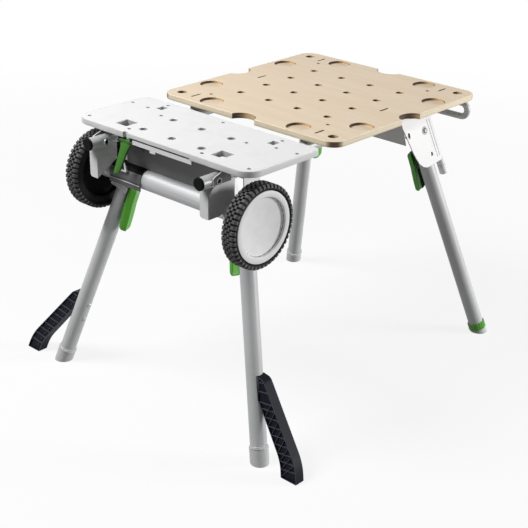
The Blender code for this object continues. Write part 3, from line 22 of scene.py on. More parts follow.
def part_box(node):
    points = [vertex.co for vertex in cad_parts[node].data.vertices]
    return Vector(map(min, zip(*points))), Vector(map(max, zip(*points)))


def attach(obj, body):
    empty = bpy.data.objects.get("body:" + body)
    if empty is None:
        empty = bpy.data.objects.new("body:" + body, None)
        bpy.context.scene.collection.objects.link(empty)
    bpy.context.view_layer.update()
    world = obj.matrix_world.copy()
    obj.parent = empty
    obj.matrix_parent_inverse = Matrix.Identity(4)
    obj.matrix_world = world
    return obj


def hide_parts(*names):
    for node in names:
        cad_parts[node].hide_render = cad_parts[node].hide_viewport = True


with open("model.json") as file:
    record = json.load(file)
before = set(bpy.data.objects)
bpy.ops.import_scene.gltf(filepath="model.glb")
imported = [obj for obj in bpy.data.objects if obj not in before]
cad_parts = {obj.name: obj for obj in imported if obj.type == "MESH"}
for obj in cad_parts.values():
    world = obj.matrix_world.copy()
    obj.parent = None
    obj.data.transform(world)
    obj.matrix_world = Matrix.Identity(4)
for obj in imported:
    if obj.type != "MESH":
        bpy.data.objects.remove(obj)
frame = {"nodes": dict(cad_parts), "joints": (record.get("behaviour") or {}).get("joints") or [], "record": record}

LOG = logging.getLogger("stand")
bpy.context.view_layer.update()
MM = 0.001
RECORD = frame["record"]
NODES = frame["nodes"]
JOINTS = {joint["name"]: joint for joint in frame["joints"]}
MOUNTS = {mount["name"]: mount for mount in RECORD["mounts"]}
BODY_OF = {node: body for body, nodes in RECORD["behaviour"]["bodies"].items() for node in nodes}
SIDES = ("left", "right")
LEG_NAMES = ("front_left", "front_right", "rear_left", "rear_right")
RIGHT = Vector((1.0, 0.0, 0.0))
BACK = Vector((0.0, 1.0, 0.0))
UP = Vector((0.0, 0.0, 1.0))
# An edge that turns by more than this is rounded, or shaded as an edge.
SHARP_TURN = math.radians(32.0)
# Points that are closer than this are one point.
SAME_POINT = 0.005 * MM

Ring = list[Vector]
Outline = list[tuple[float, ...]]
Shape = Callable[[float], Outline]
Colour = tuple[float, float, float, float]


def linear(code: str) -> Colour:
    """Turn an sRGB hex colour into linear light.

    Args:
        code: The colour, such as "#c8c8c8".

    Returns:
        Red, green, blue and an alpha of 1.
    """
    channels = [int(code[i:i + 2], 16) / 255 for i in (1, 3, 5)]
    lights = [c / 12.92 if c <= 0.04045 else ((c + 0.055) / 1.055) ** 2.4 for c in channels]
    return (lights[0], lights[1], lights[2], 1.0)


def repeats(size_mm: float) -> float:
    """Give the texture scale at which one cell of a pattern is size_mm wide."""
    return 1.0 / (size_mm * MM)


def mm(*rows: tuple[float, ...]) -> Outline:
    """Turn rows of millimetres, such as the points of an outline, into metres."""
    return [tuple(value * MM for value in row) for row in rows]


def add_node(tree: NodeTree, kind: str, settings: dict | None = None, links: dict | None = None) -> Node:
    """Add a shader node with its settings and links.

    Args:
        tree: The material's or world's node tree.
        kind: The node's type name.
        settings: Values by input name or number, or by the name of a property of the node.
        links: Output sockets by the name or number of the input that they feed.

    Returns:
        The new node.
    """
    node = tree.nodes.new(kind)
    for key, value in (settings or {}).items():
        if isinstance(key, int) or key in node.inputs:
            node.inputs[key].default_value = value
        else:
            setattr(node, key, value)
    for key, socket in (links or {}).items():
        tree.links.new(socket, node.inputs[key])
    return node


def seen_rays(tree: NodeTree) -> NodeSocket:
    """Tell the rays that show the background, to the eye or in gloss, from those that light the stand.

    Args:
        tree: The material's or world's node tree.

    Returns:
        A socket that is 1 for camera, glossy and transmitted rays and 0 for the others.
    """
    paths = add_node(tree, "ShaderNodeLightPath")
    plain = add_node(tree, "ShaderNodeMath", {"operation": "MAXIMUM"},
                     {0: paths.outputs["Is Camera Ray"], 1: paths.outputs["Is Glossy Ray"]})
    both = add_node(tree, "ShaderNodeMath", {"operation": "MAXIMUM"},
                    {0: plain.outputs["Value"], 1: paths.outputs["Is Transmission Ray"]})
    return both.outputs["Value"]


@dataclass(frozen=True)
class Surface:
    """A finish: the record's slot that it belongs to and the values of its shader.

    Each kind of surface adds its own pattern in paint().
    """

    label: str
    slot: str
    colour: str
    roughness: float
    metallic: float = 0.0
    # Share of the plain sheen that is left; a grained or dusty skin scatters most of it.
    specular: float = 0.5

    def build(self) -> Material:
        """Make the material.

        Returns:
            A material whose nodes hold the whole finish.
        """
        material = bpy.data.materials.new(self.label)
        material.use_nodes = True
        tree = material.node_tree
        shader = tree.nodes["Principled BSDF"]
        shader.inputs["Metallic"].default_value = self.metallic
        shader.inputs["Roughness"].default_value = self.roughness
        shader.inputs["Specular IOR Level"].default_value = self.specular
        place = add_node(tree, "ShaderNodeTexCoord").outputs["Object"]
        tree.links.new(self.paint(tree, shader, place), shader.inputs["Base Color"])
        return material

    def paint(self, tree: NodeTree, shader: Node, place: NodeSocket) -> NodeSocket:
        """Add the surface's pattern.

        Args:
            tree: The material's node tree.
            shader: The principled shader, for all but its colour.
            place: The position on the piece, in metres.

        Returns:
            The surface's colour.
        """
        raise NotImplementedError

    def skin(self, tree: NodeTree, shader: Node, gloss: NodeSocket | None = None,
             spread: tuple[float, float] = (0.0, 0.0), grain: NodeSocket | None = None,
             strength: float = 0.0, depth: float = 0.2 * MM) -> None:
        """Let one pattern vary the gloss and another raise the grain.

        Args:
            tree: The material's node tree.
            shader: The principled shader.
            gloss: The pattern that varies the roughness, where it isn't even.
            spread: What is added to the roughness at the least and at the greatest value of gloss.
            grain: The pattern that stands up from the skin, where it isn't smooth.
            strength: How strongly the grain shows.
            depth: How high the grain stands.
        """
        if gloss is not None:
            rough = add_node(tree, "ShaderNodeMapRange",
                             {"To Min": self.roughness + spread[0], "To Max": self.roughness + spread[1]},
                             {"Value": gloss})
            tree.links.new(rough.outputs["Result"], shader.inputs["Roughness"])
        if grain is not None:
            relief = add_node(tree, "ShaderNodeBump", {"Strength": strength, "Distance": depth},
                              {"Height": grain})
            tree.links.new(relief.outputs["Normal"], shader.inputs["Normal"])

    def tint(self, tree: NodeTree, factor: NodeSocket, low: str, high: str,
             start: float = 0.3, end: float = 0.7) -> NodeSocket:
        """Turn a pattern into a colour between two hex colours.

        Args:
            tree: The material's node tree.
            factor: The pattern's value.
            low: The colour at start.
            high: The colour at end.
            start: The pattern's value that gives the low colour.
            end: The pattern's value that gives the high colour.

        Returns:
            The colour.
        """
        ramp = add_node(tree, "ShaderNodeValToRGB", links={"Fac": factor})
        for stop, position, code in zip(ramp.color_ramp.elements, (start, end), (low, high)):
            stop.position = position
            stop.color = linear(code)
        return ramp.outputs["Color"]

    def edges(self, tree: NodeTree, width: float, most: float) -> NodeSocket:
        """Mark the edges of a piece, where handling rubs a surface.

        Args:
            tree: The material's node tree.
            width: How far the rubbed part reaches from an edge.
            most: The mark's value on the edge itself; it is 0 on open faces.

        Returns:
            The mark.
        """
        rounded = add_node(tree, "ShaderNodeBevel", {"samples": 4, "Radius": width})
        face = add_node(tree, "ShaderNodeNewGeometry")
        lean = add_node(tree, "ShaderNodeVectorMath", {"operation": "DOT_PRODUCT"},
                        {0: rounded.outputs["Normal"], 1: face.outputs["Normal"]})
        mark = add_node(tree, "ShaderNodeMapRange",
                        {"From Min": 0.98, "From Max": 0.80, "To Min": 0.0, "To Max": most},
                        {"Value": lean.outputs["Value"]})
        return mark.outputs["Result"]


@dataclass(frozen=True)
class BeechVeneer(Surface):
    """Rotary cut beech veneer, sanded and sealed: pale bands along the grain with short dark flecks."""

    pale: str = "#e6d4bb"
    fleck: str = "#c2a27a"
    band_mm: float = 26.0
    # Beech flecks are about 0.3 mm wide; they are drawn wider so that they show.
    fleck_mm: float = 1.4
    stretch: float = 14.0

    def paint(self, tree: NodeTree, shader: Node, place: NodeSocket) -> NodeSocket:
        """Add grain bands, flecks, a satin sheen and the feel of sanded wood.

        Args:
            tree: The material's node tree.
            shader: The principled shader.
            place: The position on the plate.

        Returns:
            The colour.
        """
        grain = add_node(tree, "ShaderNodeMapping", {"Scale": (1.0 / self.stretch, 1.0, 1.0)},
                         {"Vector": place}).outputs["Vector"]
        bands = add_node(tree, "ShaderNodeTexNoise",
                         {"Scale": repeats(self.band_mm), "Detail": 4.0, "Roughness": 0.55,
                          "Distortion": 0.6}, {"Vector": grain}).outputs["Fac"]
        flecks = add_node(tree, "ShaderNodeTexNoise",
                          {"Scale": repeats(self.fleck_mm), "Detail": 2.0, "Roughness": 0.5},
                          {"Vector": grain}).outputs["Fac"]
        self.skin(tree, shader, bands, (-0.08, 0.08), flecks, 0.12)
        dark = add_node(tree, "ShaderNodeMapRange",
                        {"From Min": 0.62, "From Max": 0.78, "To Min": 0.0, "To Max": 0.30},
                        {"Value": flecks})
        mixed = add_node(tree, "ShaderNodeMix", {"data_type": "RGBA", 7: linear(self.fleck)},
                         {0: dark.outputs["Result"], 6: self.tint(tree, bands, self.colour, self.pale)})
        return mixed.outputs[2]


@dataclass(frozen=True)
class CutBeech(Surface):
    """Beech plywood where a cutter went through it, with the plies as thin lines."""

    ply_mm: float = 1.5
    waver: float = 1.0

    def plies(self, tree: NodeTree, shader: Node, place: NodeSocket) -> NodeSocket:
        """Add the plies, which a finger can feel.

        Args:
            tree: The material's node tree.
            shader: The principled shader.
            place: The position on the plate.

        Returns:
            The pattern of the plies.
        """
        # The wave has 20 bands to a unit.
        lines = add_node(tree, "ShaderNodeTexWave",
                         {"wave_type": "BANDS", "bands_direction": "Z", "Scale": repeats(self.ply_mm) / 20.0,
                          "Distortion": 0.6, "Detail": 2.0, "Detail Scale": self.waver}, {"Vector": place})
        self.skin(tree, shader, grain=lines.outputs["Fac"], strength=0.15)
        return lines.outputs["Fac"]

    def facing(self, tree: NodeTree) -> Node:
        """Give the way that the cut faces, as X, Y and Z."""
        normal = add_node(tree, "ShaderNodeTexCoord").outputs["Normal"]
        return add_node(tree, "ShaderNodeSeparateXYZ", links={"Vector": normal})


@dataclass(frozen=True)
class PlyEdge(CutBeech):
    """Routed plywood edge: thin pale plies, with dark brown painted shade on the plate's rounded corners."""

    dark: str = "#a9743f"
    corner_shade: str = "#4a2a0c"
    waver: float = 3.0

    def paint(self, tree: NodeTree, shader: Node, place: NodeSocket) -> NodeSocket:
        """Add the plies, the uneven burnish and the painted shade on the corners.

        Args:
            tree: The material's node tree.
            shader: The principled shader.
            place: The position on the plate.

        Returns:
            The colour.
        """
        burnish = add_node(tree, "ShaderNodeTexNoise", {"Scale": repeats(18.0), "Detail": 3.0},
                           {"Vector": place})
        both = add_node(tree, "ShaderNodeMath", {"operation": "MULTIPLY"},
                        {0: self.plies(tree, shader, place), 1: burnish.outputs["Fac"]})
        facing = self.facing(tree)
        # Faces that point between X and Y, on the rounded corners, get dark brown painted shade.
        corner = add_node(tree, "ShaderNodeMath", {"operation": "MULTIPLY"},
                          {0: facing.outputs["X"], 1: facing.outputs["Y"]})
        depth = add_node(tree, "ShaderNodeMath", {"operation": "ABSOLUTE"}, {0: corner.outputs["Value"]})
        corner_shade_mask = add_node(tree, "ShaderNodeMapRange", {"From Min": 0.14, "From Max": 0.46, "To Max": 0.95},
                         {"Value": depth.outputs["Value"]})
        plain = self.tint(tree, both.outputs["Value"], self.colour, self.dark, 0.15, 1.0)
        mixed = add_node(tree, "ShaderNodeMix", {"data_type": "RGBA", 7: linear(self.corner_shade)},
                         {0: corner_shade_mask.outputs["Result"], 6: plain})
        return mixed.outputs[2]


@dataclass(frozen=True)
class BoredBeech(CutBeech):
    """Wall of a hole bored in beech: pale along the grain, and near black on walls facing along X, a little from
    the end grain and mostly painted shade.
    """

    # Near black: the end grain's own darkening plus painted shade.
    end: str = "#3a2410"

    def paint(self, tree: NodeTree, shader: Node, place: NodeSocket) -> NodeSocket:
        """Add the end grain, darkened far beyond its own colour by painted shade, and the tool's fine rings.

        Args:
            tree: The material's node tree.
            shader: The principled shader.
            place: The position on the plate.

        Returns:
            The colour.
        """
        # Walls that face along X get the near-black colour: painted shade more than end grain.
        across = add_node(tree, "ShaderNodeMath", {"operation": "ABSOLUTE"},
                          {0: self.facing(tree).outputs["X"]})
        ends = add_node(tree, "ShaderNodeMath", {"operation": "MULTIPLY_ADD", 1: 0.15},
                        {0: self.plies(tree, shader, place), 2: across.outputs["Value"]})
        return self.tint(tree, ends.outputs["Value"], self.colour, self.end, 0.35, 0.95)


@dataclass(frozen=True)
class Laminate(Surface):
    """Pressed melamine laminate on board: an even pale face with faint rubbed marks from use."""

    scuff: str = "#e2e2e1"

    def paint(self, tree: NodeTree, shader: Node, place: NodeSocket) -> NodeSocket:
        """Add rubbed marks, a fine pearl grain and an uneven gloss.

        Args:
            tree: The material's node tree.
            shader: The principled shader.
            place: The position on the plate.

        Returns:
            The colour.
        """
        rubbed = add_node(tree, "ShaderNodeTexNoise",
                          {"Scale": repeats(70.0), "Detail": 6.0, "Roughness": 0.62, "Distortion": 0.8},
                          {"Vector": place}).outputs["Fac"]
        pearl = add_node(tree, "ShaderNodeTexNoise", {"Scale": repeats(0.9), "Detail": 2.0},
                         {"Vector": place})
        self.skin(tree, shader, rubbed, (0.12, -0.08), pearl.outputs["Fac"], 0.06, 0.1 * MM)
        return self.tint(tree, rubbed, self.scuff, self.colour, 0.28, 0.5)


@dataclass(frozen=True)
class HandledSkin(Surface):
    """A coloured skin with a fine grain, a slow drift of shade and edges that handling wears."""

    worn: str = "#808080"
    grain_mm: float = 1.0
    grain_detail: float = 3.0
    height: float = 0.12
    drift_mm: float = 30.0
    drift_detail: float = 4.0
    drift_rough: float = 0.5
    # How far the shade drifts, and how the gloss does, with the drift or with the grain
    shade: tuple[float, float] = (0.90, 1.08)
    spread: tuple[float, float] = (-0.08, 0.1)
    cloudy: bool = False
    edge_width: float = 1.2 * MM
    edge_wear: float = 0.8

    def paint(self, tree: NodeTree, shader: Node, place: NodeSocket) -> NodeSocket:
        """Add the grain, the drift of shade and the worn edges.

        Args:
            tree: The material's node tree.
            shader: The principled shader.
            place: The position on the piece.

        Returns:
            The colour.
        """
        grain = add_node(tree, "ShaderNodeTexNoise",
                         {"Scale": repeats(self.grain_mm), "Detail": self.grain_detail},
                         {"Vector": place}).outputs["Fac"]
        drift = add_node(tree, "ShaderNodeTexNoise",
                         {"Scale": repeats(self.drift_mm), "Detail": self.drift_detail,
                          "Roughness": self.drift_rough}, {"Vector": place}).outputs["Fac"]
        self.skin(tree, shader, drift if self.cloudy else grain, self.spread, grain, self.height)
        patchy = add_node(tree, "ShaderNodeMath", {"operation": "MULTIPLY"},
                          {0: self.edges(tree, self.edge_width, self.edge_wear), 1: drift})
        level = add_node(tree, "ShaderNodeMapRange", {"To Min": self.shade[0], "To Max": self.shade[1]},
                         {"Value": drift})
        shade = add_node(tree, "ShaderNodeHueSaturation", {"Color": linear(self.colour)},
                         {"Value": level.outputs["Result"]})
        mixed = add_node(tree, "ShaderNodeMix", {"data_type": "RGBA", 7: linear(self.worn)},
                         {0: patchy.outputs["Value"], 6: shade.outputs["Color"]})
        return mixed.outputs[2]


@dataclass(frozen=True)
class PowderCoat(HandledSkin):
    """Powder coat baked on folded steel: a soft orange peel, and edges worn a little by handling."""

    worn: str = "#b4b4b2"
    grain_mm: float = 1.6
    grain_detail: float = 2.0
    height: float = 0.1
    drift_mm: float = 45.0
    drift_detail: float = 5.0
    drift_rough: float = 0.6
    shade: tuple[float, float] = (0.95, 1.04)
    spread: tuple[float, float] = (-0.06, 0.1)
    cloudy: bool = True
    edge_width: float = 1.0 * MM
    edge_wear: float = 0.7


@dataclass(frozen=True)
class MouldedPlastic(HandledSkin):
    """Injection moulded plastic: the mould's spark-eroded grain, and a rubbed shine where hands touch."""


@dataclass(frozen=True)
class AnodisedAluminium(Surface):
    """Drawn aluminium tube, satin anodised: fine die lines along its length under a soft grey bloom."""

    along: tuple[float, float, float] = (0.0, 1.0, 0.0)
    bloom: str = "#d2d3d4"
    # Die lines are about 0.1 mm apart; they are drawn coarser so that they show.
    line_mm: float = 1.2
    stretch: float = 160.0

    def paint(self, tree: NodeTree, shader: Node, place: NodeSocket) -> NodeSocket:
        """Add die lines that follow the tube.

        Args:
            tree: The material's node tree.
            shader: The principled shader.
            place: The position on the tube.

        Returns:
            The colour.
        """
        turn = Vector(self.along).to_track_quat("Z", "Y").to_euler()
        drawn = add_node(tree, "ShaderNodeMapping",
                         {"vector_type": "TEXTURE", "Rotation": turn, "Scale": (1.0, 1.0, self.stretch)},
                         {"Vector": place})
        lines = add_node(tree, "ShaderNodeTexNoise", {"Scale": repeats(self.line_mm), "Detail": 3.0},
                         {"Vector": drawn.outputs["Vector"]}).outputs["Fac"]
        self.skin(tree, shader, lines, (-0.07, 0.1), lines, 0.08, 0.1 * MM)
        return self.tint(tree, lines, self.colour, self.bloom)


@dataclass(frozen=True)
class SilverLacquer(Surface):
    """Silver lacquer sprayed on tube: metal flakes in a clear skin, so its sides shine, its front is dull."""

    bright: str = "#d2d3d4"
    # Flakes are about 0.05 mm; they are drawn coarser so that they show.
    flake_mm: float = 0.9

    def paint(self, tree: NodeTree, shader: Node, place: NodeSocket) -> NodeSocket:
        """Add the flakes, a slow drift of shade and the sprayed skin.

        Args:
            tree: The material's node tree.
            shader: The principled shader.
            place: The position on the tube.

        Returns:
            The colour.
        """
        flakes = add_node(tree, "ShaderNodeTexNoise", {"Scale": repeats(self.flake_mm), "Detail": 2.0},
                          {"Vector": place}).outputs["Fac"]
        drift = add_node(tree, "ShaderNodeTexNoise", {"Scale": repeats(120.0), "Detail": 2.0},
                         {"Vector": place})
        both = add_node(tree, "ShaderNodeMath", {"operation": "MULTIPLY_ADD", 1: 0.5},
                        {0: flakes, 2: drift.outputs["Fac"]})
        self.skin(tree, shader, flakes, (-0.06, 0.06), flakes, 0.05, 0.1 * MM)
        return self.tint(tree, both.outputs["Value"], self.colour, self.bright, 0.5, 1.0)


@dataclass(frozen=True)
class ZincPlate(Surface):
    """Bright zinc plated steel: a cool metal with a faint cloudy spangle."""

    dull: str = "#8f9194"

    def paint(self, tree: NodeTree, shader: Node, place: NodeSocket) -> NodeSocket:
        """Add the spangle and an uneven polish.

        Args:
            tree: The material's node tree.
            shader: The principled shader.
            place: The position on the piece.

        Returns:
            The colour.
        """
        spangle = add_node(tree, "ShaderNodeTexVoronoi", {"Scale": repeats(3.0)}, {"Vector": place})
        cloud = add_node(tree, "ShaderNodeTexNoise", {"Scale": repeats(7.0), "Detail": 4.0},
                         {"Vector": place})
        self.skin(tree, shader, spangle.outputs["Distance"], (-0.08, 0.15))
        return self.tint(tree, cloud.outputs["Fac"], self.dull, self.colour)


@dataclass(frozen=True)
class TyreRubber(Surface):
    """Moulded rubber: near black and dull, with cloudy grey dusty patches; its pale copy on the lug blocks is
    painted sheen.
    """

    dust_and_sheen: str = "#1f1f1e"

    def paint(self, tree: NodeTree, shader: Node, place: NodeSocket) -> NodeSocket:
        """Add cloudy dusty patches, which on the pale lug-block copy are painted sheen, and a pebbled skin.

        Args:
            tree: The material's node tree.
            shader: The principled shader.
            place: The position on the tyre.

        Returns:
            The colour.
        """
        pebble = add_node(tree, "ShaderNodeTexNoise", {"Scale": repeats(1.2), "Detail": 4.0},
                          {"Vector": place})
        cloud = add_node(tree, "ShaderNodeTexNoise",
                         {"Scale": repeats(14.0), "Detail": 5.0, "Roughness": 0.65},
                         {"Vector": place}).outputs["Fac"]
        self.skin(tree, shader, cloud, (-0.15, 0.12), pebble.outputs["Fac"], 0.25, 0.3 * MM)
        return self.tint(tree, cloud, self.colour, self.dust_and_sheen, 0.5, 0.85)


@dataclass(frozen=True)
class FloorPaper(Surface):
    """Matt paper sweep: white to the eye, with the stand's soft shadow, and grey as a source of light."""

    bounce: str = "#7c7c7c"
    glow: float = 0.85
    reach: float = 3.0

    def paint(self, tree: NodeTree, shader: Node, place: NodeSocket) -> NodeSocket:
        """Make the paper white to the eye, and let it fade into the background at its rim.

        Args:
            tree: The material's node tree.
            shader: The principled shader.
            place: The position on the floor.

        Returns:
            The colour.
        """
        seen = seen_rays(tree)
        far = add_node(tree, "ShaderNodeVectorMath", {"operation": "LENGTH"}, {0: place})
        fade = add_node(tree, "ShaderNodeMapRange",
                        {"From Min": 0.3 * self.reach, "From Max": self.reach,
                         "To Min": self.glow, "To Max": 1.0}, {"Value": far.outputs["Value"]})
        share = add_node(tree, "ShaderNodeMath", {"operation": "MULTIPLY"},
                         {0: fade.outputs["Result"], 1: seen})
        white = add_node(tree, "ShaderNodeEmission", {"Color": linear("#ffffff"), "Strength": 1.0})
        mixed = add_node(tree, "ShaderNodeMixShader", links={
            0: share.outputs["Value"], 1: shader.outputs["BSDF"], 2: white.outputs["Emission"]})
        tree.links.new(mixed.outputs["Shader"], tree.nodes["Material Output"].inputs["Surface"])
        paper = add_node(tree, "ShaderNodeMix",
                         {"data_type": "RGBA", 6: linear(self.bounce), 7: linear(self.colour)}, {0: seen})
        return paper.outputs[2]


class Finish(Enum):
    """The finishes of the stand and of its floor."""

    BEECH = BeechVeneer("sanded_beech_veneer", "beech", "#dfc9ac", 0.50)
    BEECH_EDGE = PlyEdge("routed_beech_edge", "beech", "#f0e2c8", 0.55, dark="#dcc49c")
    BEECH_CUT = BoredBeech("bored_beech_wall_painted_shade", "beech", "#d6b88c", 0.60)
    LAMINATE = Laminate("melamine_laminate", "laminate", "#e8e8e8", 0.38)
    LAMINATE_EDGE = Laminate("laminate_edge_band", "laminate", "#dedede", 0.45, scuff="#d2d2d2")
    LAMINATE_CUT = Laminate("bored_laminate_wall", "laminate", "#c4c4c4", 0.60, scuff="#adadad")
    WHITE_COAT = PowderCoat("white_powder_coat", "white_coat", "#f0f0f0", 0.40, worn="#d0d0ce")
    GREY_COAT = PowderCoat("light_grey_powder_coat", "grey_coat", "#b2b3b2", 0.42, worn="#9a9a98")
    DARK_COAT = PowderCoat("dark_grey_powder_coat", "dark_coat", "#656566", 0.48, worn="#8a8a88")
    RAIL_TUBE = AnodisedAluminium("anodised_rail_tube", "silver_tube", "#b4b5b6", 0.46, 0.50)
    BEAM_TUBE = AnodisedAluminium("anodised_beam_tube", "silver_tube", "#b8b9ba", 0.50, 0.30,
                                  along=(1.0, 0.0, 0.0))
    LEG_TUBE = SilverLacquer("silver_lacquered_leg_tube", "silver_tube", "#c6c7c8", 0.44, 0.08, 0.35)
    ZINC = ZincPlate("zinc_plated_steel", "steel", "#c4c6c9", 0.30, 1.0)
    # A darker copy of the zinc for hinge rivets and washers: painted shade for the groove round each rivet.
    RIVET = ZincPlate("zinc_rivet_steel_painted_shade", "steel", "#8b8d90", 0.50, 0.7, dull="#6f7174")
    BLACK_OXIDE = ZincPlate("black_oxide_screw_steel", "steel", "#1d1d1e", 0.45, 0.6, 0.2, dull="#121213")
    BLACK_PLASTIC = MouldedPlastic("moulded_black_polyamide", "black_plastic", "#0b0b0c", 0.52, 0.0, 0.06,
                                   worn="#343434")
    GREY_PLASTIC = MouldedPlastic("moulded_light_grey_abs", "light_grey_plastic", "#efefef", 0.42,
                                  worn="#dededd")
    GREEN_PLASTIC = MouldedPlastic("moulded_green_polyamide", "green_plastic", "#54ae20", 0.34, 0.0, 0.4,
                                   worn="#b4e292")
    # A darker copy of the green plastic for the clamp lever: painted shade.
    HANDLED_GREEN = MouldedPlastic("painted_shade_clamp_green_polyamide", "green_plastic", "#327014", 0.34, 0.0, 0.35,
                                   worn="#a4d682")
    # A darker copy of the green plastic: painted shade for the levers' hollow and for the housings seen through
    # it.
    DARK_GREEN = MouldedPlastic("painted_shade_green_polyamide", "green_plastic", "#1d4a0f", 0.40, 0.0, 0.25,
                                worn="#3f7f26")
    BLUE_PLASTIC = MouldedPlastic("moulded_blue_black_polyamide", "blue_black_plastic", "#0b0d19", 0.50, 0.0,
                                  0.12, worn="#33353f")
    # A lighter copy of the blade's plastic for the tops of the ribs and the rim: painted highlight.
    RIB_PLASTIC = MouldedPlastic("rib_polyamide_painted_highlight", "blue_black_plastic", "#3a3c48", 0.45, 0.0, 0.3,
                                 worn="#7a7d88")
    FOOT_PLASTIC = MouldedPlastic("moulded_grey_polyamide", "light_grey_plastic", "#d4d5d5", 0.46,
                                  worn="#c4c5c5")
    PACKING = MouldedPlastic("extruded_packing_strip", "packing", "#8d8e8f", 0.60, worn="#777777")
    TYRE = TyreRubber("moulded_tyre_rubber", "tyre_rubber", "#0a0a0a", 0.66, 0.0, 0.18)
    # The lug blocks' pale grey is painted sheen: a lighter copy of the tyre rubber that stands in for the gloss of
    # the lamps on the tread.
    TREAD = TyreRubber("tread_rubber_painted_sheen", "tyre_rubber", "#5c5c5c", 0.62, 0.0, 0.2, dust_and_sheen="#868686")
    FLOOR = FloorPaper("white_paper_sweep", "floor", "#f2f2f2", 0.9)


@cache
def material_of(finish: Finish) -> Material:
    """Give a finish's material, made when it is first needed."""
    return finish.value.build()


def circle(radius: float, count: int, middle: tuple[float, float] = (0.0, 0.0)) -> Outline:
    """Give the points of a circle.

    Args:
        radius: The circle's radius.
        count: How many points.
        middle: The circle's centre.

    Returns:
        The points, anticlockwise.
    """
    turns = [2.0 * math.pi * k / count for k in range(count)]
    return [(middle[0] + radius * math.cos(t), middle[1] + radius * math.sin(t)) for t in turns]


def rounded_rectangle(half: tuple[float, float], corners: Sequence[float], middle: tuple[float, float],
                      steps: int = 10) -> Outline:
    """Give the outline of a rectangle with round corners.

    Args:
        half: Half its width and half its depth.
        corners: Radii of the back right, back left, front left and front right corners.
        middle: The rectangle's centre.
        steps: Points in each corner.

    Returns:
        The points, anticlockwise.
    """
    points: Outline = []
    signs = ((1, 1), (-1, 1), (-1, -1), (1, -1))
    for quarter, ((sx, sy), radius) in enumerate(zip(signs, corners)):
        centre = (middle[0] + sx * (half[0] - radius), middle[1] + sy * (half[1] - radius))
        for k in range(steps + 1):
            turn = math.pi / 2.0 * (quarter + k / steps)
            points.append((centre[0] + radius * math.cos(turn), centre[1] + radius * math.sin(turn)))
    return points


def stadium(half_length: float, radius: float, steps: int = 8) -> Outline:
    """Give a slot's outline along Y, with half-round ends.

    Args:
        half_length: Half the distance between the middles of its ends.
        radius: Half the slot's width.
        steps: Points in each end.

    Returns:
        The points, anticlockwise.
    """
    points: Outline = []
    for hand in (1.0, -1.0):
        for k in range(steps + 1):
            turn = math.pi * k / steps + (0.0 if hand > 0.0 else math.pi)
            points.append((radius * math.cos(turn), hand * half_length + radius * math.sin(turn)))
    return points


def soft_box(half: tuple[float, float], corner: float, grow: float = 0.0) -> Outline:
    """Give a rectangle about the origin with equal round corners, grown on all sides by a margin."""
    return rounded_rectangle((half[0] + grow, half[1] + grow), [corner] * 4, (0.0, 0.0), 4)


def rectangle(low: tuple[float, float], high: tuple[float, float]) -> Outline:
    """Give a rectangle between two corners."""
    return [low, (high[0], low[1]), high, (low[0], high[1])]


def eased(corners: Sequence[tuple[float, ...]], steps: int = 6) -> Outline:
    """Give an outline with rounded corners.

    Args:
        corners: The place of each corner, and how far from it the rounding starts.
        steps: Points in each rounding.

    Returns:
        The points, in the order of the corners.
    """
    points: Outline = []
    for k, (a, b, ease) in enumerate(corners):
        here = Vector((a, b))
        start = here + (Vector(corners[k - 1][:2]) - here).normalized() * ease
        end = here + (Vector(corners[(k + 1) % len(corners)][:2]) - here).normalized() * ease
        for t in [n / steps for n in range(steps + 1)] if ease > 0.0 else [0.5]:
            spot = start * (1.0 - t) ** 2 + here * (2.0 * t * (1.0 - t)) + end * t ** 2
            points.append((spot.x, spot.y))
    return points


def inset(points: Outline, by: float) -> Outline:
    """Move the points of an anticlockwise outline inwards.

    Args:
        points: The outline.
        by: How far the points move.

    Returns:
        The smaller outline.
    """
    moved: Outline = []
    for k, (a, b) in enumerate(points):
        way = (Vector(points[(k + 1) % len(points)]) - Vector(points[k - 1])).normalized()
        moved.append((a - way.y * by, b + way.x * by))
    return moved


class Plane(Enum):
    """The planes that outlines lie in, by the axis across each."""

    SIDE = 0
    FRONT = 1
    LEVEL = 2


def laid(points: Outline, plane: Plane, at: float, origin: tuple[float, float] = (0.0, 0.0)) -> Ring:
    """Lay an outline in a plane.

    Args:
        points: The outline, by the plane's two axes in their order.
        plane: The plane.
        at: Where the plane is on the axis across it.
        origin: Where the outline's own origin is in the plane.

    Returns:
        The points in space.
    """
    ring = []
    for a, b in points:
        place = [a + origin[0], b + origin[1]]
        place.insert(plane.value, at)
        ring.append(Vector(place))
    return ring


class CutBand(Enum):
    """The number of the finish on each part of a bored hole."""

    WALL = 0
    LIP = 1
    FLOOR = 2


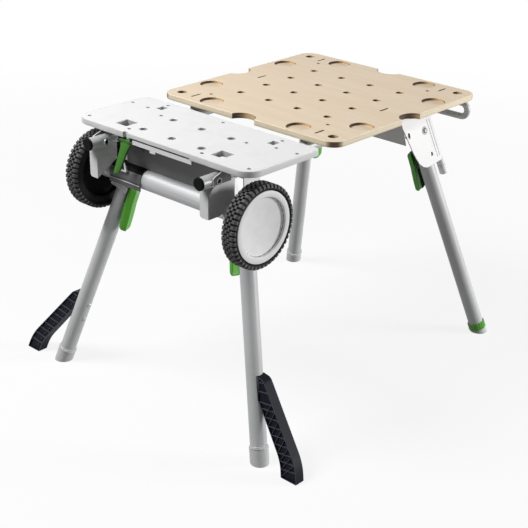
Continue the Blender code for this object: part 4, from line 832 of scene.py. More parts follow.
class Piece:
    """One visual piece while it is being built: shapes go in, and place() makes the object."""

    def __init__(self, name: str, *finishes: Finish) -> None:
        """Start an empty piece.

        Args:
            name: The object's name.
            finishes: Its finishes; a shape names one by its number.
        """
        self.name = name
        self.finishes = finishes
        self.mesh = bmesh.new()

    def loft(self, rings: Sequence[Ring], finish: int = 0, looped: bool = False,
             bands: Sequence[int] | None = None) -> None:
        """Join rings of equal length into a closed skin.

        Args:
            rings: The rings, in order.
            finish: The number of the shape's finish.
            looped: Whether the last ring joins the first; otherwise both ends are capped.
            bands: The number of the finish between each pair of rings, where they differ.
        """
        made = [[self.mesh.verts.new(p) for p in ring] for ring in rings]
        pairs = list(zip(made, made[1:]))
        if looped:
            pairs.append((made[-1], made[0]))
        else:
            for ring in (made[0], made[-1]):
                self.mesh.faces.new(ring).material_index = finish
        for number, (ring, other) in enumerate(pairs):
            for k in range(len(ring)):
                n = (k + 1) % len(ring)
                face = self.mesh.faces.new((ring[k], ring[n], other[n], other[k]))
                face.material_index = bands[number] if bands else finish

    def turn(self, origin: Vector, axis: Vector, profile: Outline, count: int, finish: int = 0,
             looped: bool = False) -> None:
        """Spin a profile about an axis.

        Args:
            origin: The point where the distance along the axis is 0.
            axis: The axis.
            profile: Distances along the axis with the radius there.
            count: Points round the axis.
            finish: The number of the shape's finish.
            looped: Whether the profile is a closed ring, such as a tyre's.
        """
        axis = axis.normalized()
        first = axis.orthogonal().normalized()
        second = axis.cross(first)
        rings = []
        for along, radius in profile:
            points = circle(max(radius, 1e-6), count)
            rings.append([origin + axis * along + first * a + second * b for a, b in points])
        self.loft(rings, finish, looped)

    def block(self, corners: Iterable[Vector], depth: Vector, finish: int = 0) -> None:
        """Push a flat outline along a direction.

        Args:
            corners: The outline's points.
            depth: How far and which way it is pushed.
            finish: The number of the shape's finish.
        """
        ring = list(corners)
        self.loft([ring, [p + depth for p in ring]], finish)

    def make(self) -> Object:
        """Turn the shapes into an object that rides on nothing yet.

        Returns:
            The object.
        """
        bmesh.ops.remove_doubles(self.mesh, verts=self.mesh.verts, dist=SAME_POINT)
        bmesh.ops.recalc_face_normals(self.mesh, faces=self.mesh.faces)
        data = bpy.data.meshes.new(self.name)
        self.mesh.to_mesh(data)
        self.mesh.free()
        for finish in self.finishes:
            data.materials.append(material_of(finish))
        made = bpy.data.objects.new(self.name, data)
        bpy.context.scene.collection.objects.link(made)
        return made

    def place(self, body: str, replaces: Sequence[str] = (), edge: float = 0.0) -> None:
        """Make the object, round its edges and let it ride on a body.

        Args:
            body: The CAD body that it moves with.
            replaces: CAD nodes that it stands for.
            edge: The width of its rounded edges.
        """
        settle(self.make(), body, replaces, edge)


def settle(made: Object, body: str, replaces: Sequence[str], edge: float) -> None:
    """Shade a finished object, round its edges and let it ride on a body.

    Args:
        made: The object.
        body: The CAD body that it moves with.
        replaces: CAD nodes that it stands for.
        edge: The width of its rounded edges, or 0 for none.
    """
    made.data.shade_smooth()
    if edge > 0.0:
        round_edges(made, edge)
    else:
        made.data.set_sharp_from_angle(angle=SHARP_TURN)
    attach(made, body)
    if replaces:
        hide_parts(*replaces)
    LOG.info("piece %s on %s", made.name, body)


def round_edges(made: Object, width: float) -> None:
    """Add modifiers that round an object's sharp edges and shade its flat faces flat.

    Args:
        made: The object.
        width: The width of the rounded edge.
    """
    weld = made.modifiers.new("weld", "WELD")
    weld.merge_threshold = SAME_POINT
    flat = made.modifiers.new("flat faces", "DECIMATE")
    flat.decimate_type = "DISSOLVE"
    flat.angle_limit = math.radians(1.0)
    bevel = made.modifiers.new("edges", "BEVEL")
    bevel.width = width
    bevel.segments = 2
    bevel.limit_method = "ANGLE"
    bevel.angle_limit = SHARP_TURN
    shade = made.modifiers.new("shading", "WEIGHTED_NORMAL")
    shade.weight = 60


def dress(finish: Finish, edge: float, *names: str) -> None:
    """Give CAD nodes that stay a finish and rounded edges.

    Args:
        finish: The finish.
        edge: The width of the rounded edges.
        names: The nodes.
    """
    for name in names:
        node = NODES[name]
        for slot in node.material_slots:
            slot.material = material_of(finish)
        round_edges(node, edge)
        LOG.info("node %s", name)


def cut(made: Object, cutter: Object) -> None:
    """Cut one object out of another, keeping the cutter's finishes on the cut walls.

    Args:
        made: The object that is cut.
        cutter: The object that cuts it; it is removed.
    """
    step = made.modifiers.new("cut", "BOOLEAN")
    step.operation = "DIFFERENCE"
    step.solver = "EXACT"
    step.material_mode = "TRANSFER"
    step.object = cutter
    graph = bpy.context.evaluated_depsgraph_get()
    result = bpy.data.meshes.new_from_object(made.evaluated_get(graph))
    made.modifiers.clear()
    made.data = result
    bpy.data.objects.remove(cutter, do_unlink=True)


@dataclass(frozen=True)
class LegFrame:
    """Where a leg is: its hinge point and its directions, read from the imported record."""

    name: str
    pivot: Vector
    out: Vector
    along: Vector
    side: Vector
    length: float

    @classmethod
    def read(cls, name: str) -> "LegFrame":
        """Work a leg's directions out from its joint and its mount on the floor.

        Args:
            name: The leg's name, such as front_left.

        Returns:
            The leg's frame.
        """
        joint = JOINTS["leg_fold_" + name]
        pivot = Vector(joint["pos_m"])
        out = Vector(joint["axis"]).normalized()
        if out.x * pivot.x < 0.0:
            out = -out
        reach = Vector(MOUNTS["floor_" + name]["pos_m"]) - pivot
        along = reach.normalized()
        fold = Vector((0.0, -math.copysign(1.0, pivot.y), 0.0))
        side = (fold - along * fold.dot(along)).normalized()
        return cls(name, pivot, out, along, side, reach.length)

    def at(self, out: float, side: float, along: float) -> Vector:
        """Give a point in the leg's own directions."""
        return self.pivot + self.out * out + self.side * side + self.along * along

    @property
    def body(self) -> str:
        """Name of the leg's CAD body."""
        return "leg_" + self.name

    @property
    def front(self) -> bool:
        """Whether it is one of the two front legs."""
        return self.name.startswith("front")

    @property
    def hand(self) -> float:
        """1 for a leg on the right and -1 for one on the left."""
        return math.copysign(1.0, self.pivot.x)


@dataclass
class Slab:
    """A plate with rounded edges and bored holes whose lips are eased."""

    node: str
    corners: tuple[float, float, float, float]
    edge: float
    screw_radius: float
    lip: float = 0.9 * MM
    screw_slack: float = 0.2 * MM
    low: Vector = field(init=False)
    high: Vector = field(init=False)
    cutter: Piece = field(init=False)

    def __post_init__(self) -> None:
        """Read the plate's box from its CAD node."""
        self.low, self.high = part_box(self.node)

    def blank(self, *finishes: Finish) -> Object:
        """Make the plate without holes.

        Args:
            finishes: The face's finish and the edge's finish.

        Returns:
            The plate.
        """
        piece = Piece(self.node + "_dressed", *finishes)
        half = (self.high - self.low) / 2.0
        middle = (self.high + self.low) / 2.0
        rings = []
        for height, step in self.rounding():
            outline = rounded_rectangle((half.x - step, half.y - step), [c - step for c in self.corners],
                                        (middle.x, middle.y))
            rings.append(laid(outline, Plane.LEVEL, height))
        piece.loft(rings, 1)
        for face in piece.mesh.faces:
            if len(face.verts) > 4:
                face.material_index = 0
        return piece.make()

    def rounding(self) -> Outline:
        """Give heights and insets from the lower face, round both edges, to the upper face.

        Returns:
            The heights, each with the inset of the outline there.
        """
        turns = [math.pi / 2.0 * k / 4.0 for k in range(5)]
        curve = [(self.edge * (1.0 - math.cos(t)), self.edge * (1.0 - math.sin(t))) for t in turns]
        lower = [(self.low.z + rise, step) for rise, step in curve]
        upper = [(self.high.z - rise, step) for rise, step in reversed(curve)]
        return lower + upper

    def bore(self, shape: Shape, middle: tuple[float, float], floor: float | None = None) -> None:
        """Add a hole to the cutter, with an eased lip at each face that it comes out of.

        Args:
            shape: Gives the hole's outline about its own middle, grown by a margin.
            middle: Where the hole is.
            floor: The height of its floor, or None where it goes right through.
        """
        spare = 2.0 * MM
        stations = [(self.high.z - self.lip, 0.0), (self.high.z, self.lip),
                    (self.high.z + spare, self.lip + spare)]
        finishes = [CutBand.WALL, CutBand.LIP, CutBand.LIP]
        if floor is None:
            stations = [(self.low.z - spare, self.lip + spare), (self.low.z, self.lip),
                        (self.low.z + self.lip, 0.0)] + stations
            finishes = [CutBand.LIP, CutBand.LIP] + finishes
        else:
            stations.insert(0, (floor, 0.0))
        rings = [laid(shape(grow), Plane.LEVEL, height, middle) for height, grow in stations]
        base = CutBand.WALL if floor is None else CutBand.FLOOR
        self.cutter.loft(rings, base.value, bands=[band.value for band in finishes])

    def drill(self, radius: float, count: int, places: Iterable[tuple[float, float]],
              floor: float | None = None) -> None:
        """Bore equal round holes.

        Args:
            radius: Their radius.
            count: Points round each hole.
            places: Their middles.
            floor: The height of their floors, or None where they go right through.
        """
        for place in places:
            self.bore(lambda grow: circle(radius + grow, count), place, floor)

    def screws(self, places: Sequence[tuple[float, float]], sunk: float) -> None:
        """Bore the screw holes and add a sunk socket screw in each.

        Args:
            places: The middles of the holes.
            sunk: How far the heads are below the plate's face.
        """
        self.drill(self.screw_radius, 20, places)
        head = self.screw_radius - self.screw_slack
        shank = mm((-9, 0), (-9, 2.5), (-3.4, 2.5))
        rim = [(-3.2 * MM, head), (-0.4 * MM, head), (0.0, head - 0.5 * MM)]
        socket = mm((0, 2.3), (-1.8, 2.2), (-2, 0))
        piece = Piece(self.node + "_screws", Finish.BLACK_OXIDE)
        for x, y in places:
            piece.turn(Vector((x, y, self.high.z - sunk)), UP, shank + rim + socket, 18)
        piece.place(BODY_OF[self.node])

    def finish(self, face: Finish, edge: Finish) -> None:
        """Cut the holes out of the plate and let it stand for its CAD node.

        Args:
            face: The finish of its faces.
            edge: The finish of its edge.
        """
        plate = self.blank(face, edge)
        cut(plate, self.cutter.make())
        settle(plate, BODY_OF[self.node], [self.node], 0.0)


@dataclass
class BeechPlate(Slab):
    """Square beech plate with dog holes, pockets, strap slots and a notch in each edge."""

    node: str = "beech_plate"
    corners: tuple[float, float, float, float] = (35 * MM, 35 * MM, 35 * MM, 35 * MM)
    edge: float = 2.2 * MM
    pitch: float = 96 * MM
    dog_radius: float = 10 * MM
    corner_radius: float = 12.5 * MM
    corner_offset: float = 250 * MM
    screw_radius: float = 5.4 * MM
    screw_x: float = 185 * MM
    screw_y: float = 210 * MM
    screw_near_y: float = 190 * MM
    screw_sunk: float = 5 * MM
    pocket_radius: float = 30 * MM
    pocket_depth: float = 7 * MM
    pocket_offset: float = 250 * MM
    notch_radius: float = 38 * MM
    notch_out: float = 10 * MM
    strap_half: float = 14.5 * MM
    strap_radius: float = 3 * MM
    strap_x: float = 205 * MM
    strap_y: float = 245 * MM

    def build(self) -> None:
        """Make the plate and bore all its holes."""
        self.cutter = Piece("beech_holes", Finish.BEECH_CUT, Finish.BEECH, Finish.BEECH)
        y = (self.low.y + self.high.y) / 2.0
        grid = [self.pitch * step for step in (-1.5, -0.5, 0.5, 1.5)]
        self.drill(self.dog_radius, 32, [(x, y + step) for x in grid for step in grid])
        ends = (-self.corner_offset, self.corner_offset)
        self.drill(self.corner_radius, 36, [(x, y + step) for x in ends for step in ends])
        self.screws([(-self.screw_x, y - self.screw_y), (-self.screw_x, y + self.screw_y),
                     (self.screw_x, y - self.screw_near_y), (self.screw_x, y + self.screw_y)],
                    self.screw_sunk)
        for x in (-self.strap_x, self.strap_x):
            for step in (-self.strap_y, 0.0, self.strap_y):
                self.bore(lambda grow: stadium(self.strap_half, self.strap_radius + grow), (x, y + step))
        edge = (self.high.x - self.low.x) / 2.0 + self.notch_out
        self.drill(self.notch_radius, 64, [(edge, y), (-edge, y), (0.0, y + edge), (0.0, y - edge)])
        pockets = []
        for near in (grid[0], grid[-1]):
            for far in (-self.pocket_offset, self.pocket_offset):
                pockets += [(near, y + far), (far, y + near)]
        self.drill(self.pocket_radius, 56, pockets, self.high.z - self.pocket_depth)
        self.finish(Finish.BEECH, Finish.BEECH_EDGE)


@dataclass
class SawPlate(Slab):
    """Grey laminate plate that carries the saw, with its fixing holes and a thin front edge."""

    node: str = "saw_plate"
    corners: tuple[float, float, float, float] = (13 * MM, 30 * MM, 40 * MM, 40 * MM)
    edge: float = 1.6 * MM
    pitch: float = 96 * MM
    dog_radius: float = 10 * MM
    dog_row: float = 47 * MM
    screw_radius: float = 4.8 * MM
    screw_sunk: float = 2.5 * MM
    # Distance of each pair of screw holes from the middle plane and from the front edge
    screw_pairs: Outline = field(default_factory=lambda: mm(
        (271, 171.5), (262.5, 25.5), (189, 214), (141, 146), (120, 25), (212.5, 167.5)))
    middle_screw: float = 214 * MM
    square_half: float = 19 * MM
    square_x: float = 158 * MM
    square_back: float = 51 * MM
    latch_half: tuple[float, float] = (10 * MM, 12 * MM)
    latch_x: float = 184 * MM
    latch_back: float = 189 * MM
    notch_half: float = 6.5 * MM
    notch_x: float = -108 * MM
    lip_span: tuple[float, float] = (-95 * MM, 105 * MM)
    lip_depth: float = 12 * MM
    lip_thick: float = 10 * MM

    def build(self) -> None:
        """Make the plate, bore its holes and thin its front edge."""
        self.cutter = Piece("saw_holes", Finish.LAMINATE_CUT, Finish.LAMINATE_EDGE)
        front = self.low.y
        rows = (front + self.dog_row, front + self.dog_row + self.pitch)
        self.drill(self.dog_radius, 32, [(x, y) for x in (-self.pitch, 0.0, self.pitch) for y in rows])
        screws = [(hand * x, front + back) for x, back in self.screw_pairs for hand in (-1.0, 1.0)]
        self.screws(screws + [(0.0, front + self.middle_screw)], self.screw_sunk)
        for hand in (-1.0, 1.0):
            self.bore(lambda grow: soft_box((self.square_half, self.square_half), 3 * MM, grow),
                      (hand * self.square_x, front + self.square_back))
            self.bore(lambda grow: soft_box(self.latch_half, 2 * MM, grow),
                      (hand * self.latch_x, front + self.latch_back))
        self.bore(lambda grow: soft_box((self.notch_half, self.notch_half), 2 * MM, grow),
                  (self.notch_x, front))
        left, right = self.lip_span
        floor = self.low.z - self.lip_depth
        under = rectangle((left, front - self.lip_depth), (right, front + self.lip_depth))
        self.cutter.block(laid(under, Plane.LEVEL, floor), UP * (self.high.z - self.lip_thick - floor), 1)
        self.finish(Finish.LAMINATE, Finish.LAMINATE_EDGE)


@dataclass
class Rails:
    """The two rails, their caps and packing strips, and the bolt and hook plate behind each cap."""

    radius: float = 14 * MM
    hook_gap: float = 0.3 * MM
    hook_thick: float = 2 * MM
    # The hook plate's front edge: distance back from the rail's end and height above its middle
    hook_edge: Outline = field(default_factory=lambda: mm(
        (25.5, -8), (25, 1), (24, 6.5), (27, 9.5), (34, 12.5), (44, 15.5), (50, 18), (51.5, 21.2)))
    hook_back: float = 80 * MM
    bead: float = 0.9 * MM
    bolt_back: float = 42 * MM
    bolt_drop: float = 1 * MM

    def build(self) -> None:
        """Dress the rails and add what holds their front ends."""
        dress(Finish.RAIL_TUBE, 0.5 * MM, "rail_left", "rail_right")
        dress(Finish.BLACK_PLASTIC, 0.8 * MM, "rail_cap_left", "rail_cap_right")
        dress(Finish.PACKING, 0.5 * MM, "saw_strip_left", "saw_strip_right", "beech_strip_left",
              "beech_strip_right")
        for side in SIDES:
            low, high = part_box("rail_" + side)
            middle = (low + high) / 2.0
            self.hook(side, middle, low.y)
            self.bolt(side, middle, low.y)

    def hook(self, side: str, middle: Vector, front: float) -> None:
        """Add the plate that hooks the outer side of a rail to the saw plate, with a pale bead on its edge; its
        dark coat is painted shadow from the saw plate.

        Args:
            side: left or right.
            middle: The middle of the rail.
            front: The rail's front end.
        """
        # The dark coat on the hook plate is painted shadow.
        piece = Piece("rail_hook_painted_shadow_" + side, Finish.DARK_COAT, Finish.WHITE_COAT)
        hand = math.copysign(1.0, middle.x)
        face = middle.x + hand * (self.radius + self.hook_gap)
        edge = self.hook_edge
        out = RIGHT * (hand * self.hook_thick)
        plate = edge + [(self.hook_back, edge[-1][1]), (self.hook_back, edge[0][1])]
        piece.block(laid(plate, Plane.SIDE, face, (front, middle.z)), out)
        rings = []
        for k, spot in enumerate(laid(edge, Plane.SIDE, face + 0.5 * out.x, (front, middle.z))):
            way = Vector(edge[min(k + 1, len(edge) - 1)]) - Vector(edge[max(k - 1, 0)])
            across = Vector((0.0, -way.y, way.x)).normalized()
            rings.append([spot + across * c + RIGHT * (1.4 * d) for c, d in circle(self.bead, 8)])
        piece.loft(rings, 1)
        piece.place("frame")

    def bolt(self, side: str, middle: Vector, front: float) -> None:
        """Add the cross bolt of a rail: a ring washer and a sunk hexagon head on its right side.

        Args:
            side: left or right.
            middle: The middle of the rail.
            front: The rail's front end.
        """
        piece = Piece("rail_bolt_" + side, Finish.ZINC, Finish.BLACK_OXIDE)
        face = self.radius + (self.hook_gap + self.hook_thick if side == "right" else 0.0)
        base = Vector((middle.x + face, front + self.bolt_back, middle.z - self.bolt_drop))
        washer = mm((-3, 5.2), (-3, 8), (1.6, 8), (2.2, 7.2), (2.2, 6), (1.6, 5.2))
        piece.turn(base, RIGHT, washer, 32, looped=True)
        piece.turn(base, RIGHT, mm((-3, 0), (-3, 5.1), (0.8, 5.1), (0.8, 0)), 6, 1)
        piece.place("frame", edge=0.25 * MM)


@dataclass
class Beam:
    """The cross beam with the axle plates on its ends, and at its left end a clip and a catch; the clip's dark and
    black bands are painted shadow.
    """

    clip_span: tuple[float, float] = (-186 * MM, -78 * MM)
    clip_gap: float = 0.4 * MM
    clip_thick: float = 2.2 * MM
    # Start and sweep of each part of the clip in degrees up from the front, and its finish; the dark coat and the
    # black upper part are painted shadow
    clip_arcs: tuple[tuple[float, float, int], ...] = ((38.0, 82.0, 2), (-20.0, 58.0, 0))
    bead: float = 1.1 * MM
    lip_reach: float = 3 * MM
    lip_drop: float = 13 * MM
    # The catch's corners from the front, and how far each is eased
    catch: Outline = field(default_factory=lambda: mm(
        (-144, 14.5, 0), (-121, 14.5, 5), (-122, 27, 7), (-131, 38, 1), (-128, 26, 5), (-129, 18, 2),
        (-144, 17, 0)))
    catch_thick: float = 3.2 * MM

    def build(self) -> None:
        """Dress the beam and its axles, and add the clip."""
        dress(Finish.BEAM_TUBE, 0.6 * MM, "cross_beam")
        dress(Finish.GREY_COAT, 0.7 * MM, "axle_left", "axle_right")
        low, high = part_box("cross_beam")
        self.clip((low + high) / 2.0, (high.z - low.z) / 2.0 + self.clip_gap)

    def clip(self, middle: Vector, inner: float) -> None:
        """Add the clip over the left end of the beam, with its folded lip and the white catch; its dark coat and
        black upper band paint the saw plate's shadow, and the white bead on its lip is a painted highlight.

        Args:
            middle: The middle of the beam.
            inner: The clip's inner radius.
        """
        piece = Piece("beam_clip_painted_shadow", Finish.DARK_COAT, Finish.WHITE_COAT, Finish.BLACK_PLASTIC)
        left, right = self.clip_span
        outer = inner + self.clip_thick
        shapes = []
        # The black upper arc and the dark lower arc are painted shadow; the white bead on the lip is a painted
        # highlight.
        for start, sweep, finish in self.clip_arcs:
            turns = [math.radians(start + sweep * k / 12) for k in range(13)]
            arc = [(-outer * math.cos(t), outer * math.sin(t)) for t in turns]
            arc += [(-inner * math.cos(t), inner * math.sin(t)) for t in reversed(turns)]
            shapes.append((arc, finish))
        edge, height = shapes[-1][0][0]
        shapes.append((circle(self.bead, 8, (edge - self.lip_reach, height)), 1))
        shapes.append(([(edge - self.lip_reach, height + 1 * MM), (edge + 1 * MM, height + 1 * MM),
                        (edge + 1 * MM, height - self.lip_drop), (edge - 1.2 * MM, height - self.lip_drop),
                        (edge - 1.2 * MM, height - 1.2 * MM), (edge - self.lip_reach, height - 1.2 * MM)], 0))
        for outline, finish in shapes:
            piece.block(laid(outline, Plane.SIDE, left, (middle.y, middle.z)), RIGHT * (right - left), finish)
        catch = laid(eased(self.catch), Plane.FRONT, middle.y - outer - self.lip_reach, (0.0, middle.z))
        piece.block(catch, BACK * self.catch_thick, 1)
        piece.place("frame", edge=0.5 * MM)


@dataclass
class Wheel:
    """A wheel: a lugged tyre, a hub and a dished cover."""

    side: str
    radius: float = 99 * MM
    half: float = 19 * MM
    face: float = 15 * MM
    inner_radius: float = 71 * MM
    wall_radius: float = 85.2 * MM
    root_radius: float = 94.2 * MM
    crown_drop: float = 7 * MM
    bulge: float = 0.8 * MM
    lugs: int = 48
    # Half the angle of a lug, as a share of the pitch
    lug_share: float = 0.30
    lug_bite: float = 1 * MM
    cover_radius: float = 84 * MM
    cover_front: float = 19.3 * MM
    cover_ring: float = 14 * MM
    cover_dish: float = 8 * MM
    cover_slope: float = 4.5 * MM
    cover_disc: float = 2 * MM
    middle: Vector = field(init=False)
    axis: Vector = field(init=False)

    def __post_init__(self) -> None:
        """Read the wheel's place from its joint."""
        self.middle = Vector(JOINTS["wheel_spin_" + self.side]["pos_m"])
        self.axis = RIGHT * math.copysign(1.0, self.middle.x)

    def build(self) -> None:
        """Make the tyre and the cover, and dress the hub."""
        dress(Finish.BLACK_PLASTIC, 0.8 * MM, "wheel_hub_" + self.side)
        self.tyre()
        self.cover()

    def tyre(self) -> None:
        """Make the tyre: a smooth carcass with shoulder lugs and two rows of middle blocks."""
        # The lugs take the pale copy of the rubber, which is painted sheen.
        piece = Piece("tyre_lugged_" + self.side, Finish.TYRE, Finish.TREAD)
        crown = self.radius - self.crown_drop
        outside = [(self.face, self.inner_radius), (self.face, self.wall_radius),
                   (self.half - 1.2 * MM, self.wall_radius + 1.6 * MM),
                   (self.half, self.wall_radius + 3.4 * MM), (self.half, crown - self.bulge),
                   (self.half - 1.6 * MM, crown + self.bulge), (self.half - 6 * MM, self.root_radius)]
        profile = outside + [(-a, r) for a, r in reversed(outside)]
        piece.turn(self.middle, self.axis, profile, 2 * self.lugs, looped=True)
        root = self.root_radius - self.lug_bite
        shoulder = [(self.half + 0.5 * MM, self.wall_radius + 4.4 * MM),
                    (self.half + 0.5 * MM, self.radius - 5 * MM), (self.half - 3.4 * MM, self.radius),
                    (self.half - 11 * MM, self.radius), (self.half - 11.5 * MM, root),
                    (self.half - 7 * MM, root), (self.half - 2 * MM, crown)]
        middle = [(0.9 * MM, root), (0.9 * MM, self.radius), (6.4 * MM, self.radius), (6.4 * MM, root)]
        for k in range(self.lugs):
            for hand, shift in ((1.0, 0.0), (-1.0, 0.5)):
                self.lug(piece, shoulder, hand, k + shift)
                self.lug(piece, middle, hand, k + shift + 0.5)
        piece.place("wheel_" + self.side, ["tyre_" + self.side], edge=0.5 * MM)

    def lug(self, piece: Piece, section: Outline, hand: float, place: float) -> None:
        """Add one lug, a section of the tread swept over a small angle.

        Args:
            piece: The tyre.
            section: Distances along the axis with the radius there.
            hand: 1 for the outer row and -1 for the inner row.
            place: The lug's place round the wheel, counted in lugs.
        """
        step = 2.0 * math.pi / self.lugs
        first = self.axis.orthogonal().normalized()
        second = self.axis.cross(first)
        rings = []
        for angle in ((place - self.lug_share) * step, (place + self.lug_share) * step):
            spoke = first * math.cos(angle) + second * math.sin(angle)
            rings.append([self.middle + self.axis * (hand * a) + spoke * r for a, r in section])
        piece.loft(rings, 1)

    def cover(self) -> None:
        """Make the cover: a raised ring, a sloping step and a bare sunk disc."""
        piece = Piece("wheel_cover_" + self.side, Finish.GREY_PLASTIC)
        seat = self.face + 0.3 * MM
        ring_in = self.cover_radius - self.cover_ring
        disc = ring_in - self.cover_slope
        floor = self.cover_front - self.cover_dish
        front = self.cover_front
        back = floor - self.cover_disc
        slack = 0.6 * MM
        profile = [(back, 0.0), (back, disc - slack), (seat, disc - slack + seat - back),
                   (seat, self.cover_radius - 1 * MM), (seat + 1 * MM, self.cover_radius),
                   (front - 1.4 * MM, self.cover_radius), (front - 0.4 * MM, self.cover_radius - 0.5 * MM),
                   (front, self.cover_radius - 1.8 * MM), (front, ring_in + 1.4 * MM),
                   (front - 0.5 * MM, ring_in + 0.3 * MM), (floor + 0.5 * MM, disc + slack),
                   (floor, disc - slack), (floor, 0.0)]
        piece.turn(self.middle, self.axis, profile, 96)
        piece.place("wheel_" + self.side, ["hub_cover_" + self.side])


@dataclass
class LegBrackets:
    """The four folded brackets with their rivets, washers, black plugs that paint the shade in the fold holes,
    edge lines and stop buffers.
    """

    cheek: float = 28 * MM
    washer_inner: float = 7.3 * MM
    washer_radius: float = 11 * MM
    washer_thick: float = 0.8 * MM
    fold_hole: tuple[float, float] = (8.6 * MM, 4.5 * MM)
    plug_sunk: float = 2.4 * MM
    plug_thick: float = 1.2 * MM
    roll_lines: tuple[float, ...] = (-19.5 * MM, -29 * MM)
    roll_span: tuple[float, float] = (-42 * MM, 84 * MM)
    roll_line_radius: float = 0.9 * MM
    roll_line_sunk: float = 0.2 * MM
    buffer_radius: float = 11 * MM
    buffer_groove: float = 1.8 * MM
    buffer_rise: float = 17 * MM
    buffer_length: float = 44 * MM

    def build(self, legs: Iterable[LegFrame]) -> None:
        """Dress the brackets and add the hardware on each.

        Args:
            legs: The frames of the four legs.
        """
        for leg in legs:
            dress(Finish.WHITE_COAT, 0.8 * MM, "leg_bracket_" + leg.name)
            dress(Finish.RIVET, 0.5 * MM, "leg_pivot_pin_" + leg.name)
            self.washer(leg)
            self.plug(leg)
            if not leg.front:
                self.roll(leg)
                self.buffer(leg)

    def washer(self, leg: LegFrame) -> None:
        """Add the washer under a hinge rivet.

        Args:
            leg: The leg's frame.
        """
        # The washer's darker zinc is painted shade.
        piece = Piece("hinge_washer_" + leg.name, Finish.RIVET)
        top = self.cheek + self.washer_thick
        profile = [(self.cheek, self.washer_inner), (self.cheek, self.washer_radius),
                   (top, self.washer_radius), (top, self.washer_inner)]
        piece.turn(leg.pivot, leg.out, profile, 40, looped=True)
        piece.place("frame", edge=0.25 * MM)

    def plug(self, leg: LegFrame) -> None:
        """Fill the oblong fold hole of a bracket with a sunk black plug, which paints the shade inside the
        bracket.

        Args:
            leg: The leg's frame.
        """
        piece = Piece("fold_hole_painted_shade_" + leg.name, Finish.BLACK_PLASTIC)
        joint = JOINTS["leg_fold_" + leg.name]
        low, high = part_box("lock_pin_" + leg.name)
        reach = ((low + high) / 2.0 - leg.pivot).dot(leg.along)
        turn = Matrix.Rotation(math.radians(joint["range_deg"][1]), 3, Vector(joint["axis"]))
        folded = turn @ leg.along
        across = leg.out.cross(folded)
        middle = leg.pivot + folded * reach + leg.out * (self.cheek - self.plug_sunk)
        outline = stadium(*self.fold_hole)
        piece.block([middle + folded * b + across * a for a, b in outline], leg.out * self.plug_thick)
        piece.place("frame")

    def roll(self, leg: LegFrame) -> None:
        """Draw the two lines along a rear bracket's rolled edge.

        Args:
            leg: The leg's frame.
        """
        piece = Piece("rolled_edge_lines_" + leg.name, Finish.GREY_COAT)
        start, end = self.roll_span
        radius = self.roll_line_radius
        profile = [(0.0, 0.0), (0.0, radius), (end - start, radius), (end - start, 0.0)]
        for side in self.roll_lines:
            piece.turn(leg.at(self.cheek - self.roll_line_sunk, side, start), leg.along, profile, 10)
        piece.place("frame")

    def buffer(self, leg: LegFrame) -> None:
        """Make the stop buffer under a rear bracket's rolled edge, with a groove round it.

        Args:
            leg: The leg's frame.
        """
        name = "stop_buffer_" + leg.name
        piece = Piece(name + "_grooved", Finish.GREY_PLASTIC)
        low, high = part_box(name)
        radius, length = self.buffer_radius, self.buffer_length
        groove = radius - self.buffer_groove
        top = (low + high) / 2.0 - leg.along * self.buffer_rise
        profile = [(0.0, 0.0), (0.0, radius), (15 * MM, radius), (15.8 * MM, groove), (17.8 * MM, groove),
                   (18.6 * MM, radius), (length - 2 * MM, radius), (length, radius - 2 * MM), (length, 0.0)]
        piece.turn(top, leg.along, profile, 32)
        piece.place("frame", [name])


@dataclass
class Leg:
    """A leg tube with its foot."""

    frame: LegFrame
    radius: float = 20 * MM
    foot_radius: float = 22.5 * MM
    foot_length: float = 40 * MM
    bead: float = 1.1 * MM
    bead_drop: float = 5 * MM
    screw_heights: tuple[float, float] = (173 * MM, 131 * MM)

    def build(self) -> None:
        """Dress the tube and its foot, and add the foot's bead and the outrigger's screws."""
        name = self.frame.name
        dress(Finish.LEG_TUBE, 0.5 * MM, "leg_" + name)
        dress(Finish.FOOT_PLASTIC, 1.0 * MM, "foot_" + name)
        if name == "rear_right":
            return
        place = (self.frame.length - self.foot_length + self.bead_drop, self.foot_radius)
        piece = Piece("foot_bead_" + name, Finish.FOOT_PLASTIC)
        piece.turn(self.frame.pivot, self.frame.along, circle(self.bead, 10, place), 48, looped=True)
        piece.place(self.frame.body)
        if self.frame.front:
            self.screws()

    def screws(self) -> None:
        """Add the two screws that hold the outrigger to the leg."""
        piece = Piece("outrigger_screws_" + self.frame.name, Finish.ZINC)
        head = mm((-1, 0), (-1, 5), (1, 5), (2.2, 3.6), (2.6, 1.5), (2.6, 0))
        for height in self.screw_heights:
            reach = (self.frame.pivot.z - height) / -self.frame.along.z
            piece.turn(self.frame.at(-self.radius, 0.0, reach), -self.frame.out, head, 24)
        piece.place(self.frame.body)


